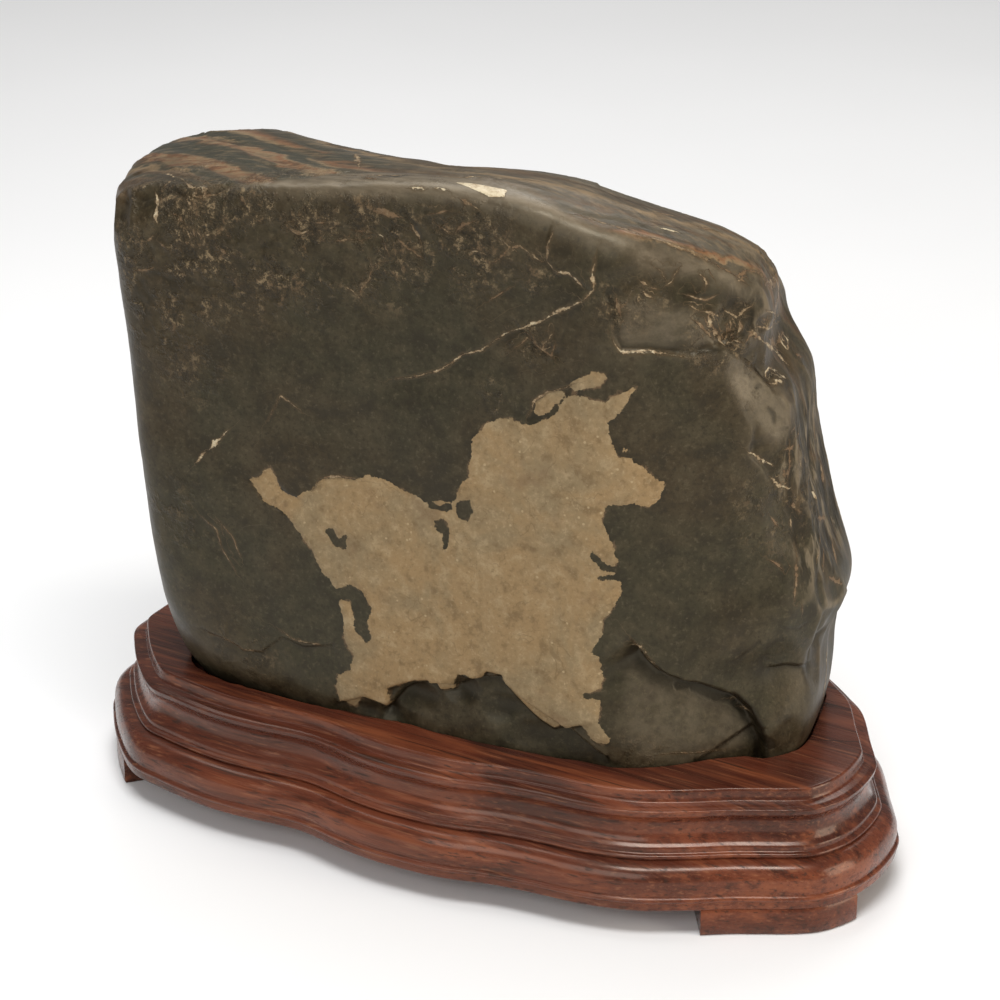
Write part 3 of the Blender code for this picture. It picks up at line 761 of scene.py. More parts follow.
def facet_relief(places, normals, relief):
    """The relief with each flat chip cut down to its own tilted plane."""
    for side, right, height, azimuth, elevation, reach, sink in FACETS:
        points = side_position(places, side) - np.array((right, height))
        distance = np.linalg.norm(points, axis=1)
        distance[normals @ facing(side) < 0.1] = 1000.0
        face = facing(azimuth, elevation)
        middle = np.argmin(distance)
        above = (places - places[middle]) @ face + relief * (normals @ face)
        above += (sink * MM - relief[middle])
        share = smooth_step((reach - distance) / (0.4 * reach))
        share *= smooth_step((normals @ facing(side) - 0.1) / 0.4)
        cut = 3.0 * MM * np.tanh(np.maximum(above, 0.0) / (3.0 * MM))
        relief = relief - cut * share / np.maximum(normals @ face, 0.4)
    return relief


def broken_share(places, normals):
    """1 on the broken right end, 0 on the smooth front."""
    points = side_position(places, BROKEN_SIDE)
    signed, _beyond, _share = nearest_on_line(points, BROKEN_EDGE)
    past = smooth_step((3.0 - signed) / 9.0)
    past[normals @ facing(150) > 0.3] = 0.0
    return past * smooth_step((normals @ facing(0) - 0.05) / 0.35)


def chipped_relief(places, normals, broken, settings):
    """Shallow tilted scars, crowded on the broken right end and larger behind."""
    draw = np.random.default_rng(settings.chip_seed)
    end = np.flatnonzero((broken > 0.7) & (places[:, 2] > 0.072))
    behind = np.flatnonzero((normals @ facing(100, 0) > 0.25) & (places[:, 2] > 0.08))
    deepest = np.zeros(len(places))
    for region, count, small, large, dish in ((end, settings.chips, 4.0, 13.0, 1.0),
                                              (behind, settings.chips // 3, 12.0, 34.0, 0.4)):
        for spot in draw.choice(region, count, replace=False):
            reach = draw.uniform(small, large) * MM
            depth = draw.uniform(0.07, 0.13) * reach * dish
            lean = draw.uniform(-0.09, 0.09, 3)
            offset = places - places[spot]
            tilt = offset @ lean
            offset[:, 2] *= 0.65
            spread = np.sum(offset * offset, axis=1) / reach ** 2
            scar = depth * (spread - 1.0) + tilt
            deepest = np.where(spread < 4.0, np.minimum(deepest, scar), deepest)
    return deepest


def rough_relief(places, ribs):
    """Slow swells everywhere, upright ribs on the broken end, fine unevenness."""
    pitted = crumb_strength(places)
    relief = np.zeros(len(places))
    for index, place in enumerate(places):
        spot = Vector(place)
        swell = noise.noise(spot * 14.0) + 0.5 * noise.noise(spot * 31.0)
        relief[index] = 1.5 * swell + 0.16 * noise.noise(spot * 95.0)
        if ribs[index] > 0.01:
            upright = Vector((spot.x * 50.0, spot.y * 66.0, spot.z * 24.0))
            fine = Vector((spot.x * 130.0, spot.y * 170.0, spot.z * 60.0))
            relief[index] -= 0.9 * ribs[index] * abs(noise.noise(upright))
            relief[index] -= 0.6 * ribs[index] * abs(noise.noise(fine))
        if pitted[index] > 0.05:
            pit = max(0.0, noise.noise(spot * 210.0) - 0.12)
            flaw = max(0.0, 0.16 - abs(noise.noise(spot * 70.0)))
            relief[index] -= pitted[index] * (1.3 * pit + 2.6 * flaw)
    return relief * MM


def layer_position(places):
    """How many layers behind LAYER_LINE each place lies, wavering a little."""
    line = np.array(LAYER_LINE, dtype=float)
    across = np.interp(places[:, 0] / MM, line[:, 0], line[:, 1])
    height = (places[:, 2] / MM - 330.0) * 0.35
    waver = [noise.noise(Vector((place[0] * 14.0, place[1] * 24.0, place[2] * 10.0)))
             + 0.4 * noise.noise(Vector((place[0] * 40.0, place[1] * 60.0, place[2] * 30.0)))
             for place in places]
    return (places[:, 1] / MM - across + height) / LAYER_PITCH + 0.45 * np.array(waver)


def band_strength(places, normals):
    """How strongly the layers show: behind the smooth front ridge and round the
    left shoulder."""
    front = np.array(BAND_FRONT, dtype=float)
    limit = np.interp(places[:, 0] / MM, front[:, 0], front[:, 1])
    behind = smooth_step((places[:, 1] / MM - limit + 1.5) / 4.0)
    crown = behind * smooth_step((normals[:, 2] - 0.12) / 0.35)
    shoulder = smooth_step((-0.136 - places[:, 0]) / 0.02)
    shoulder = shoulder * smooth_step((places[:, 2] - 0.270) / 0.035)
    shoulder = shoulder * smooth_step((places[:, 1] + 0.098) / 0.012)
    return np.maximum(crown, shoulder)


def layer_relief(places, normals):
    """Low lenses where the layers come out on the crown."""
    layer = layer_position(places)
    lens = [noise.noise(Vector((layer[index] * 1.3, place[0] * 13.0, place[2] * 6.0)))
            + 0.5 * noise.noise(Vector((layer[index] * 3.6, place[0] * 22.0, 4.0)))
            for index, place in enumerate(places)]
    return 1.5 * MM * band_strength(places, normals) * np.array(lens)


def crumb_strength(places):
    strength = np.zeros(len(places))
    for centre, reach, amount in CRUMBS:
        distance = np.linalg.norm(places / MM - np.array(centre), axis=1)
        strength = np.maximum(strength, amount * np.exp(-(distance / reach) ** 2))
    return strength


def wanted_edge(places, normals, settings):
    """How long a mesh edge may be at each place, in metres."""
    wanted = np.full(len(places), settings.coarse)
    seen = normals @ facing(-60, 20) > 0.0
    wanted[seen] = settings.medium
    wanted[broken_share(places, normals) > 0.1] = settings.medium * 0.54
    wanted[crumb_strength(places) > 0.4] = settings.medium * 0.72
    wanted[(normals[:, 2] > 0.5)] = settings.medium * 0.85
    front = np.flatnonzero(seen & (normals @ facing(PATCH_SIDE) > 0.3))
    close = np.abs(patch_depth(places[front], normals[front])) < 2.2
    wanted[front[close]] = settings.fine
    distance, half, _tone = vein_distance(places, normals)
    wanted[np.abs(distance) - half < 1.5] = settings.fine
    wanted[np.abs(line_depth(places, normals, CRACKS_AND_SHADE)) < 1.5] = settings.fine * 1.2
    for ledge in list(LEDGES.values()) + list(FINE_LEDGES.values()):
        points = side_position(places, ledge["side"])
        signed, beyond, _share = nearest_on_line(points, ledge["line"])
        near = (np.abs(signed) < 3.0) & (beyond < 2.0)
        near &= normals @ facing(ledge["side"]) > 0.2
        wanted[near] = np.minimum(wanted[near], settings.fine * 1.15)
    wanted[places[:, 2] < 0.064] = settings.coarse * 1.4
    return wanted


def graded_ball(settings):
    """Triangles on a ball, split until every edge is short enough on the block."""
    ball = bmesh.new()
    bmesh.ops.create_icosphere(ball, subdivisions=6, radius=1.0)
    for vert in ball.verts:
        vert.co = Vector(np.array(vert.co) * BALL_STRETCH).normalized()
    for _round in range(6):
        ball.verts.index_update()
        directions = np.array([vert.co[:] for vert in ball.verts])
        ends = np.array([(edge.verts[0].index, edge.verts[1].index) for edge in ball.edges])
        places = block_places(directions, settings.hardness)
        lengths = np.linalg.norm(places[ends[:, 0]] - places[ends[:, 1]], axis=1)
        middles = unit(directions[ends[:, 0]] + directions[ends[:, 1]])
        doubtful = np.flatnonzero(lengths > settings.fine)
        wanted = wanted_edge(block_places(middles[doubtful], settings.hardness),
                             block_normals(middles[doubtful], settings.hardness), settings)
        long = doubtful[lengths[doubtful] > wanted]
        if not len(long):
            break
        ball.edges.ensure_lookup_table()
        bmesh.ops.subdivide_edges(ball, edges=[ball.edges[index] for index in long], cuts=1)
        bmesh.ops.triangulate(ball, faces=[face for face in ball.faces if len(face.verts) > 3])
        for vert in ball.verts:
            vert.co.normalize()
    bmesh.ops.smooth_vert(ball, verts=ball.verts, factor=0.5, use_axis_x=True,
                          use_axis_y=True, use_axis_z=True)
    return ball


def shape_rock(ball, settings):
    """Moves the ball's points out to the rock's surface."""
    directions = unit(np.array([vert.co[:] for vert in ball.verts]))
    places = block_places(directions, settings.hardness)
    normals = block_normals(directions, settings.hardness)
    broken = broken_share(places, normals)
    relief = rough_relief(places, ribbed_share(places, broken)) + layer_relief(places, normals)
    relief += scoop_relief(places, normals)
    relief += chipped_relief(places, normals, broken, settings)
    for ledge in list(LEDGES.values()) + list(FINE_LEDGES.values()):
        relief += ledge_relief(places, normals, **ledge)
    for lump in LUMPS.values():
        relief += lump_relief(places, *lump)
    relief += 0.35 * MM * smooth_step(patch_depth(places, normals) / 1.6)
    relief = facet_relief(places, normals, relief)
    places = places + normals * relief[:, None]
    uneven = np.array([noise.noise(Vector(place) * 30.0) for place in places])
    places[:, 2] = np.maximum(places[:, 2], ROCK_UNDERSIDE + 1.2 * MM * uneven)
    for vert, place in zip(ball.verts, places):
        vert.co = place
    return places, normals


def store(mesh, name, values):
    """Keeps one number a point on the mesh, for its finish to read."""
    layer = mesh.attributes.new(name, "FLOAT", "POINT")
    layer.data.foreach_set("value", np.asarray(values, dtype=np.float32))


def hollowness(mesh, rounds=10):
    """How far in mm each point lies below the average ground round it."""
    count = len(mesh.vertices)
    places = np.empty(count * 3)
    mesh.vertices.foreach_get("co", places)
    places = places.reshape(-1, 3)
    normals = np.empty(count * 3)
    mesh.vertices.foreach_get("normal", normals)
    normals = normals.reshape(-1, 3)
    ends = np.empty(len(mesh.edges) * 2, dtype=np.int64)
    mesh.edges.foreach_get("vertices", ends)
    ends = ends.reshape(-1, 2)
    degree = np.bincount(ends.ravel(), minlength=count)
    average = places.copy()
    for _round in range(rounds):
        total = np.stack([np.bincount(ends[:, 0], average[ends[:, 1], axis], count)
                          + np.bincount(ends[:, 1], average[ends[:, 0], axis], count)
                          for axis in range(3)], axis=1)
        average = total / degree[:, None]
    return np.sum((average - places) * normals, axis=1) / MM


def build_stone(settings):
    ball = graded_ball(settings)
    places, normals = shape_rock(ball, settings)
    mesh = bpy.data.meshes.new("stone_surface")
    ball.to_mesh(mesh)
    mesh.validate()
    ball.free()
    mesh.polygons.foreach_set("use_smooth", [True] * len(mesh.polygons))
    store(mesh, "patch", patch_depth(places, normals))
    distance, half_width, tone = vein_distance(places, normals)
    store(mesh, "vein", distance)
    store(mesh, "vein_half", half_width)
    store(mesh, "vein_tone", tone)
    # Real cracks, and painted shade along steps and under the overhang.
    store(mesh, "crack_and_shade", line_depth(places, normals, CRACKS_AND_SHADE))
    for name, lenses in (("green", GREEN_LENSES), ("red", RED_LENSES)):
        rows = [("crown", width, line) for width, line in lenses]
        store(mesh, name, line_depth(places, normals, rows))
    # Painted sheen and painted light, together with real wear.
    store(mesh, "worn", wear_and_sheen_share(places, normals))
    store(mesh, "layer", layer_position(places))
    store(mesh, "crown", band_strength(places, normals))
    broken = broken_share(places, normals)
    store(mesh, "broken", broken)
    store(mesh, "ribbed", ribbed_share(places, broken))
    store(mesh, "crumb", crumb_strength(places))
    store(mesh, "hollow", hollowness(mesh))
    for vert in mesh.vertices:
        vert.co += Vector(FRAME_SHIFT)
    stone = bpy.data.objects.new("stone_surface", mesh)
    bpy.context.collection.objects.link(stone)
    return stone


# ---------------------------------------------------------------- stand shaping
def outline_points(steps):
    """The plan as an evenly stepped closed curve, with its outward normals."""
    knots = np.array(STAND_PLAN, dtype=float) * MM
    fine = []
    for index in range(len(knots)):
        before, here = knots[index - 1], knots[index]
        after, later = knots[(index + 1) % len(knots)], knots[(index + 2) % len(knots)]
        for step in range(16):
            t = step / 16.0
            fine.append(0.5 * (2 * here + (after - before) * t
                               + (2 * before - 5 * here + 4 * after - later) * t * t
                               + (3 * here - before - 3 * after + later) * t ** 3))
    fine = np.array(fine + [fine[0]])
    walked = np.concatenate(([0.0], np.cumsum(np.linalg.norm(np.diff(fine, axis=0), axis=1))))
    stops = np.arange(steps) * walked[-1] / steps
    points = np.stack([np.interp(stops, walked, fine[:, axis]) for axis in range(2)], axis=1)
    along = np.roll(points, -1, axis=0) - np.roll(points, 1, axis=0)
    outward = unit(np.stack((along[:, 1], -along[:, 0]), axis=1))
    return points, outward


def seat_ring(points, stone):
    """Where the rock passes the stand's top, out from the rock's middle, with room."""
    middle = ROCK_CENTRE[:2]
    count = len(stone.data.vertices)
    places = np.empty(count * 3)
    stone.data.vertices.foreach_get("co", places)
    places = places.reshape(-1, 3) - FRAME_SHIFT
    low = places[places[:, 2] < TOP_HEIGHT + 2 * MM][:, :2] - middle
    turns = np.arctan2(low[:, 1], low[:, 0])
    reaches = np.linalg.norm(low, axis=1)
    bins = 240
    slot = np.floor((turns + math.pi) / (2 * math.pi) * bins).astype(int) % bins
    widest = np.zeros(bins)
    np.maximum.at(widest, slot, reaches)
    widest = np.maximum(np.maximum(np.roll(widest, 1), np.roll(widest, -1)) - 1.5 * MM, widest)
    offset = points - middle
    turn = np.arctan2(offset[:, 1], offset[:, 0])
    centres = (np.arange(bins) + 0.5) / bins * 2 * math.pi - math.pi
    reach = np.interp(turn, centres, widest, period=2 * math.pi) + SEAT_GAP
    return middle + np.stack((np.cos(turn), np.sin(turn)), axis=1) * reach[:, None]


def add_ring(builder, ring, height):
    return [builder.verts.new((x, y, height)) for x, y in ring]


def bridge(builder, upper, lower, skip=()):
    count = len(upper)
    for index in range(count):
        if index not in skip:
            after = (index + 1) % count
            builder.faces.new((upper[index], lower[index], lower[after], upper[after]))


def foot_spans(points):
    """The steps of the outline that each foot covers, as (first, last)."""
    spans = []
    for start, end in FEET.values():
        near = [int(np.argmin(np.linalg.norm(points - np.array(place) * MM, axis=1)))
                for place in (start, end)]
        if near[1] < near[0]:
            near[1] += len(points)
        spans.append(tuple(near))
    return spans


def add_foot(builder, points, outward, rim, span):
    """A bracket foot: down from the apron, rounded where it meets the table."""
    steps = [index % len(points) for index in range(span[0], span[1] + 1)]
    outer = STAND_PROFILE[-1][0] * MM
    inner = outer - FOOT_DEPTH
    rail = ((outer + 0.6 * MM, 13.2 * MM), (outer + 0.6 * MM, 1.0 * MM), (outer - 0.2 * MM, 0.0),
            (inner + 0.8 * MM, 0.0), (inner, 1.0 * MM))
    rings = [[rim[0][step] for step in steps]]
    for out, height in rail:
        rings.append([builder.verts.new((*(points[step] + outward[step] * out), height))
                      for step in steps])
    rings.append([rim[1][step] for step in steps])
    for upper, lower in zip(rings, rings[1:]):
        for index in range(len(steps) - 1):
            builder.faces.new((upper[index], lower[index], lower[index + 1], upper[index + 1]))
    builder.faces.new([ring[0] for ring in reversed(rings)])
    builder.faces.new([ring[-1] for ring in rings])


def build_stand(settings, stone):
    points, outward = outline_points(settings.outline_steps)
    builder = bmesh.new()
    rings = [add_ring(builder, points + outward * out * MM, height * MM)
             for out, height in STAND_PROFILE]
    seat = seat_ring(points, stone)
    seat_rim = add_ring(builder, seat, TOP_HEIGHT)
    seat_low = add_ring(builder, seat, SEAT_FLOOR)
    bridge(builder, seat_rim, rings[0])
    bridge(builder, seat_low, seat_rim)
    builder.faces.new(seat_low)
    for upper, lower in zip(rings, rings[1:]):
        bridge(builder, upper, lower)
    inner = STAND_PROFILE[-1][0] * MM - FOOT_DEPTH
    under = add_ring(builder, points + outward * inner, APRON_BOTTOM)
    spans = foot_spans(points)
    covered = {index % len(points) for first, last in spans for index in range(first, last)}
    bridge(builder, rings[-1], under, skip=covered)
    builder.faces.new(list(reversed(under)))
    for span in spans:
        add_foot(builder, points, outward, (rings[-1], under), span)
    bmesh.ops.recalc_face_normals(builder, faces=builder.faces)
    mesh = bpy.data.meshes.new("stand_carving")
    builder.to_mesh(mesh)
    builder.free()
    for vert in mesh.vertices:
        vert.co += Vector(FRAME_SHIFT)
    mesh.shade_smooth()
    mesh.set_sharp_from_angle(angle=math.radians(42))
    stand = bpy.data.objects.new("stand_carving", mesh)
    bpy.context.collection.objects.link(stand)
    return stand


# ---------------------------------------------------------------- finishes
class Finish:
    """A material under construction, with short ways to add the nodes it needs."""

    def __init__(self, name):
        self.material = bpy.data.materials.new(name)
        self.material.use_nodes = True
        self.tree = self.material.node_tree
        self.shader = self.tree.nodes["Principled BSDF"]
        coordinates = self.tree.nodes.new("ShaderNodeTexCoord")
        self.here = coordinates.outputs["Object"]

    def put(self, socket, value):
        if isinstance(value, bpy.types.NodeSocket):
            self.tree.links.new(value, socket)
        else:
            socket.default_value = value

    def math(self, operation, first, second=0.0, third=0.0, clamp=False):
        node = self.tree.nodes.new("ShaderNodeMath")
        node.operation = operation
        node.use_clamp = clamp
        for socket, value in zip(node.inputs, (first, second, third)):
            self.put(socket, value)
        return node.outputs[0]

    def between(self, value, low, high, out_low=0.0, out_high=1.0):
        """Maps low..high smoothly on to out_low..out_high."""
        node = self.tree.nodes.new("ShaderNodeMapRange")
        node.interpolation_type = "SMOOTHSTEP"
        for index, item in enumerate((value, low, high, out_low, out_high)):
            self.put(node.inputs[index], item)
        return node.outputs[0]

    def between_straight(self, value, low, high):
        """Maps low..high on to 0..1 in a straight line."""
        node = self.tree.nodes.new("ShaderNodeMapRange")
        for index, item in enumerate((value, low, high)):
            self.put(node.inputs[index], item)
        return node.outputs[0]

    def mix(self, share, first, second, blend="MIX"):
        node = self.tree.nodes.new("ShaderNodeMix")
        node.data_type = "RGBA"
        node.blend_type = blend
        self.put(node.inputs["Factor"], share)
        self.put(node.inputs["A"], colour(first))
        self.put(node.inputs["B"], colour(second))
        return node.outputs["Result"]

    def stretched(self, x, y, z, turn=(0.0, 0.0, 0.0)):
        node = self.tree.nodes.new("ShaderNodeMapping")
        self.put(node.inputs["Vector"], self.here)
        node.inputs["Scale"].default_value = (x, y, z)
        node.inputs["Rotation"].default_value = turn
        return node.outputs[0]

    def noise(self, scale, detail=2.0, where=None, roughness=0.55, warp=0.0):
        node = self.tree.nodes.new("ShaderNodeTexNoise")
        self.put(node.inputs["Vector"], where or self.here)
        node.inputs["Scale"].default_value = scale
        node.inputs["Detail"].default_value = detail
        node.inputs["Roughness"].default_value = roughness
        node.inputs["Distortion"].default_value = warp
        return node.outputs[0]

    def cells(self, scale, where=None, feature="F1"):
        node = self.tree.nodes.new("ShaderNodeTexVoronoi")
        node.feature = feature
        self.put(node.inputs["Vector"], where or self.here)
        node.inputs["Scale"].default_value = scale
        return node

    def ramp(self, value, stops):
        node = self.tree.nodes.new("ShaderNodeValToRGB")
        self.put(node.inputs[0], value)
        elements = node.color_ramp.elements
        while len(elements) < len(stops):
            elements.new(0.5)
        for element, (position, shade) in zip(elements, stops):
            element.position = position
            element.color = colour(shade)
        return node.outputs[0]

    def stored(self, name):
        node = self.tree.nodes.new("ShaderNodeAttribute")
        node.attribute_name = name
        return node.outputs["Fac"]

    def bump(self, height, distance, strength=1.0, onto=None):
        node = self.tree.nodes.new("ShaderNodeBump")
        self.put(node.inputs["Height"], height)
        node.inputs["Distance"].default_value = distance
        node.inputs["Strength"].default_value = strength
        if onto:
            self.put(node.inputs["Normal"], onto)
        return node.outputs[0]


def colour(value):
    """A colour with its alpha, or a socket as it is."""
    if isinstance(value, bpy.types.NodeSocket):
        return value
    return (*tuple(value)[:3], 1.0)


def stone_colour(look, hues):
    """The dark ground: slow clouds, mottling, pale flecks, pits and hairlines."""
    clouds = look.noise(10.0, 4.0, roughness=0.6, warp=0.5)
    mottle = look.noise(80.0, 5.0, roughness=0.68)
    grain = look.noise(430.0, 3.0, roughness=0.65)
    dark = look.mix(look.between(clouds, 0.40, 0.60), hues.dark_olive, hues.dark_brown)
    dark = look.mix(look.between(mottle, 0.47, 0.68, 0.0, 0.68), dark, hues.dark_pale)
    dark = look.mix(look.between(mottle, 0.51, 0.36, 0.0, 0.68), dark, hues.pit)
    dark = look.mix(look.between(grain, 0.54, 0.72, 0.0, 0.40), dark, hues.dust)
    dark = look.mix(look.between(grain, 0.48, 0.32, 0.0, 0.65), dark, hues.pit)
    fleck = look.between(look.cells(150.0).outputs["Distance"], 0.10, 0.05)
    chosen = look.between(look.noise(60.0, 1.0), 0.62, 0.66, 0.0, 0.45)
    dark = look.mix(look.math("MULTIPLY", fleck, chosen), dark, hues.dust)
    hair = look.math("ABSOLUTE", look.math("SUBTRACT", look.noise(17.0, 3.0, warp=0.7), 0.5))
    hair = look.math("MULTIPLY", look.between(hair, 0.0035, 0.001),
                     look.between(look.noise(30.0, 2.0), 0.52, 0.62, 0.0, 0.20))
    return look.mix(hair, dark, hues.dust), mottle, grain


def layer_colour(look, hues, ground):
    """The crown's layers: long lenses on the left, fine streaks towards the right."""
    across = look.stored("layer")
    fine = look.noise(150.0, 4.0, look.stretched(0.22, 0.7, 0.7), roughness=0.65, warp=0.3)
    shifted = look.math("MULTIPLY_ADD", look.math("SUBTRACT", fine, 0.5), 1.5, across)
    green, grey, brown = hues.layer_green, hues.layer_grey, hues.layer_brown
    tan, red = hues.layer_tan, hues.layer_red
    left = look.ramp(look.between_straight(shifted, -4.6, 3.4), [
        (0.0, brown), (0.05, green), (0.11, brown), (0.15, tan), (0.175, green), (0.21, brown),
        (0.24, red), (0.265, tan), (0.28, red), (0.30, brown), (0.32, green), (0.44, green),
        (0.465, brown), (0.485, tan), (0.52, red), (0.535, tan), (0.55, green), (0.60, green),
        (0.625, tan), (0.66, red), (0.70, brown), (0.73, green), (0.80, grey), (0.83, tan),
        (0.86, brown), (0.91, green), (1.0, brown)])
    right = look.ramp(look.between_straight(shifted, -1.0, 9.0), [
        (0.0, grey), (0.075, grey), (0.09, tan), (0.115, red), (0.13, brown), (0.15, grey),
        (0.20, grey), (0.215, brown), (0.25, grey), (0.29, tan), (0.31, grey), (0.37, brown),
        (0.40, grey), (0.45, grey), (0.47, tan), (0.50, red), (0.53, brown), (0.57, grey),
        (0.66, green), (0.70, tan), (0.73, brown), (0.80, grey), (0.88, green), (0.93, tan),
        (1.0, green)])
    place = look.tree.nodes.new("ShaderNodeSeparateXYZ")
    look.put(place.inputs[0], look.here)
    bands = look.mix(look.between(place.outputs[0], -0.075, 0.02), left, right)
    sway = look.math("MULTIPLY", look.math("SUBTRACT", fine, 0.5), 14.0)
    streak = look.noise(420.0, 3.0, look.stretched(0.12, 0.8, 0.8), roughness=0.6)
    reds = look.mix(look.between(streak, 0.42, 0.58), red, tan)
    share = look.between(look.math("ADD", look.stored("red"), sway), -0.8, 1.2, 0.0, 0.75)
    bands = look.mix(share, bands, reds)
    share = look.between(look.math("ADD", look.stored("green"), sway), -0.8, 1.2, 0.0, 0.85)
    bands = look.mix(share, bands, green)
    bands = look.mix(look.between(streak, 0.52, 0.66, 0.0, 0.35), bands, tan)
    bands = look.mix(look.between(streak, 0.48, 0.34, 0.0, 0.45), bands, hues.pit)
    worn = look.noise(60.0, 4.0, look.stretched(0.5, 1.0, 1.0), roughness=0.6)
    bands = look.mix(look.between(worn, 0.50, 0.70, 0.0, 0.5), bands, ground)
    return look.mix(look.math("MULTIPLY", look.stored("crown"), 0.92), ground, bands)


def crumb_share(look):
    """Crumbly ground in blots: its ragged high crumbs, its low pits painted dark as their shade,
    and their blot.
    """
    rubble = look.noise(230.0, 5.0, roughness=0.78)
    blots = look.noise(52.0, 5.0, roughness=0.7)
    zone = look.between(look.stored("crumb"), 0.10, 0.75)
    zone = look.math("MULTIPLY", zone, look.between(look.stored("worn"), 0.80, 0.10))
    blot = look.math("MULTIPLY", look.between(blots, 0.46, 0.58, 0.10, 1.0), zone)
    high = look.math("MULTIPLY", look.between(rubble, 0.52, 0.60), blot)
    # Low pits of the crumbs, painted dark as their shade.
    low = look.math("MULTIPLY", look.between(rubble, 0.48, 0.39), blot)
    return high, low, look.math("MULTIPLY", blot, rubble)


def patch_share(look):
    """1 inside the tan patch, with an edge ragged at several sizes."""
    coarse = look.math("SUBTRACT", look.noise(140.0, 3.0, roughness=0.6), 0.5)
    small = look.math("SUBTRACT", look.noise(430.0, 3.0, roughness=0.7), 0.5)
    edge = look.math("MULTIPLY_ADD", coarse, 3.6, look.stored("patch"))
    edge = look.math("MULTIPLY_ADD", small, 2.8, edge)
    return look.between(edge, -0.18, 0.18), edge


def patch_colour(look, hues):
    clouds = look.noise(24.0, 5.0, roughness=0.65, warp=0.4)
    mottle = look.noise(110.0, 4.0, roughness=0.7)
    speckle = look.noise(480.0, 3.0, roughness=0.7)
    tan = look.mix(look.between(clouds, 0.38, 0.64), hues.patch_warm, hues.patch_grey)
    tan = look.mix(look.between(mottle, 0.50, 0.72, 0.0, 0.55), tan, hues.patch_pale)
    tan = look.mix(look.between(mottle, 0.48, 0.32, 0.0, 0.60), tan, hues.patch_brown)
    tan = look.mix(look.between(speckle, 0.53, 0.72, 0.0, 0.45), tan, hues.patch_pale)
    tan = look.mix(look.between(speckle, 0.46, 0.28, 0.0, 0.50), tan, hues.patch_brown)
    rust = look.noise(45.0, 5.0, roughness=0.7)
    tan = look.mix(look.between(rust, 0.57, 0.70, 0.0, 0.40), tan, hues.patch_rust)
    flaw = look.math("ABSOLUTE", look.math("SUBTRACT", look.noise(40.0, 4.0, warp=0.5), 0.5))
    flaw = look.math("MULTIPLY", look.between(flaw, 0.008, 0.002),
                     look.between(look.noise(35.0, 1.0), 0.52, 0.60, 0.0, 0.45))
    tan = look.mix(flaw, tan, hues.patch_brown)
    dots = look.between(look.cells(190.0).outputs["Distance"], 0.17, 0.08)
    chosen = look.between(look.noise(80.0, 0.0), 0.58, 0.60, 0.0, 0.8)
    return look.mix(look.math("MULTIPLY", dots, chosen), tan, hues.patch_pale)


def vein_share(look):
    wander = look.noise(150.0, 5.0, roughness=0.78)
    line = look.math("ABSOLUTE", look.math(
        "MULTIPLY_ADD", look.math("SUBTRACT", wander, 0.5), 3.6, look.stored("vein")))
    breaks = look.between(look.noise(170.0, 4.0, roughness=0.7), 0.36, 0.66, 0.15, 1.6)
    half = look.math("MULTIPLY", look.stored("vein_half"), breaks)
    depth = look.math("SUBTRACT", half, line)
    # The second share is a band just outside each vein, painted darker as its shade.
    return look.between(depth, -0.14, 0.20), look.between(depth, -1.3, -0.2)


def vein_colour(look, hues):
    grain = look.math("SUBTRACT", look.noise(260.0, 5.0, roughness=0.78), 0.5)
    tone = look.math("MULTIPLY_ADD", grain, 1.7, look.stored("vein_tone"))
    return look.ramp(tone, [(0.0, hues.vein_cream), (0.06, hues.vein_cream),
                            (0.26, hues.vein_tan), (0.50, hues.crumb_rust),
                            (0.78, hues.patch_rust), (0.95, hues.stain)])


def broken_colour(look, hues, ground):
    """The broken end: stains, pale crests, dark grooves of its ribs and painted shade in its
    hollows.
    """
    broken, ribbed = look.stored("broken"), look.stored("ribbed")
    stains = look.noise(55.0, 4.0, look.stretched(1.0, 1.0, 0.5), roughness=0.65)
    stain = look.math("MULTIPLY", broken, look.between(stains, 0.50, 0.66, 0.0, 0.55))
    ground = look.mix(stain, ground, hues.stain)
    ribs = look.noise(80.0, 4.0, look.stretched(1.0, 1.3, 0.28), roughness=0.62)
    ridge = look.math("MULTIPLY", ribbed, look.between(ribs, 0.53, 0.60, 0.0, 0.75))
    ground = look.mix(ridge, ground, hues.crest)
    groove = look.math("MULTIPLY", ribbed, look.between(ribs, 0.50, 0.44, 0.0, 0.9))
    ground = look.mix(groove, ground, hues.pit)
    # Painted shade in the hollows, darker the deeper they lie.
    hollow = look.stored("hollow")
    ground = look.mix(look.between(hollow, 0.05, 0.8, 0.0, 0.6), ground, hues.pit)
    crest = look.math("MULTIPLY", look.between(hollow, -0.12, -0.55),
                      look.between(broken, 0.0, 1.0, 0.10, 0.70))
    crest = look.math("MULTIPLY", crest, look.between(stains, 0.42, 0.62, 0.15, 1.0))
    ground = look.mix(crest, ground, hues.crest)
    return ground, look.math("MULTIPLY", ribs, ribbed)


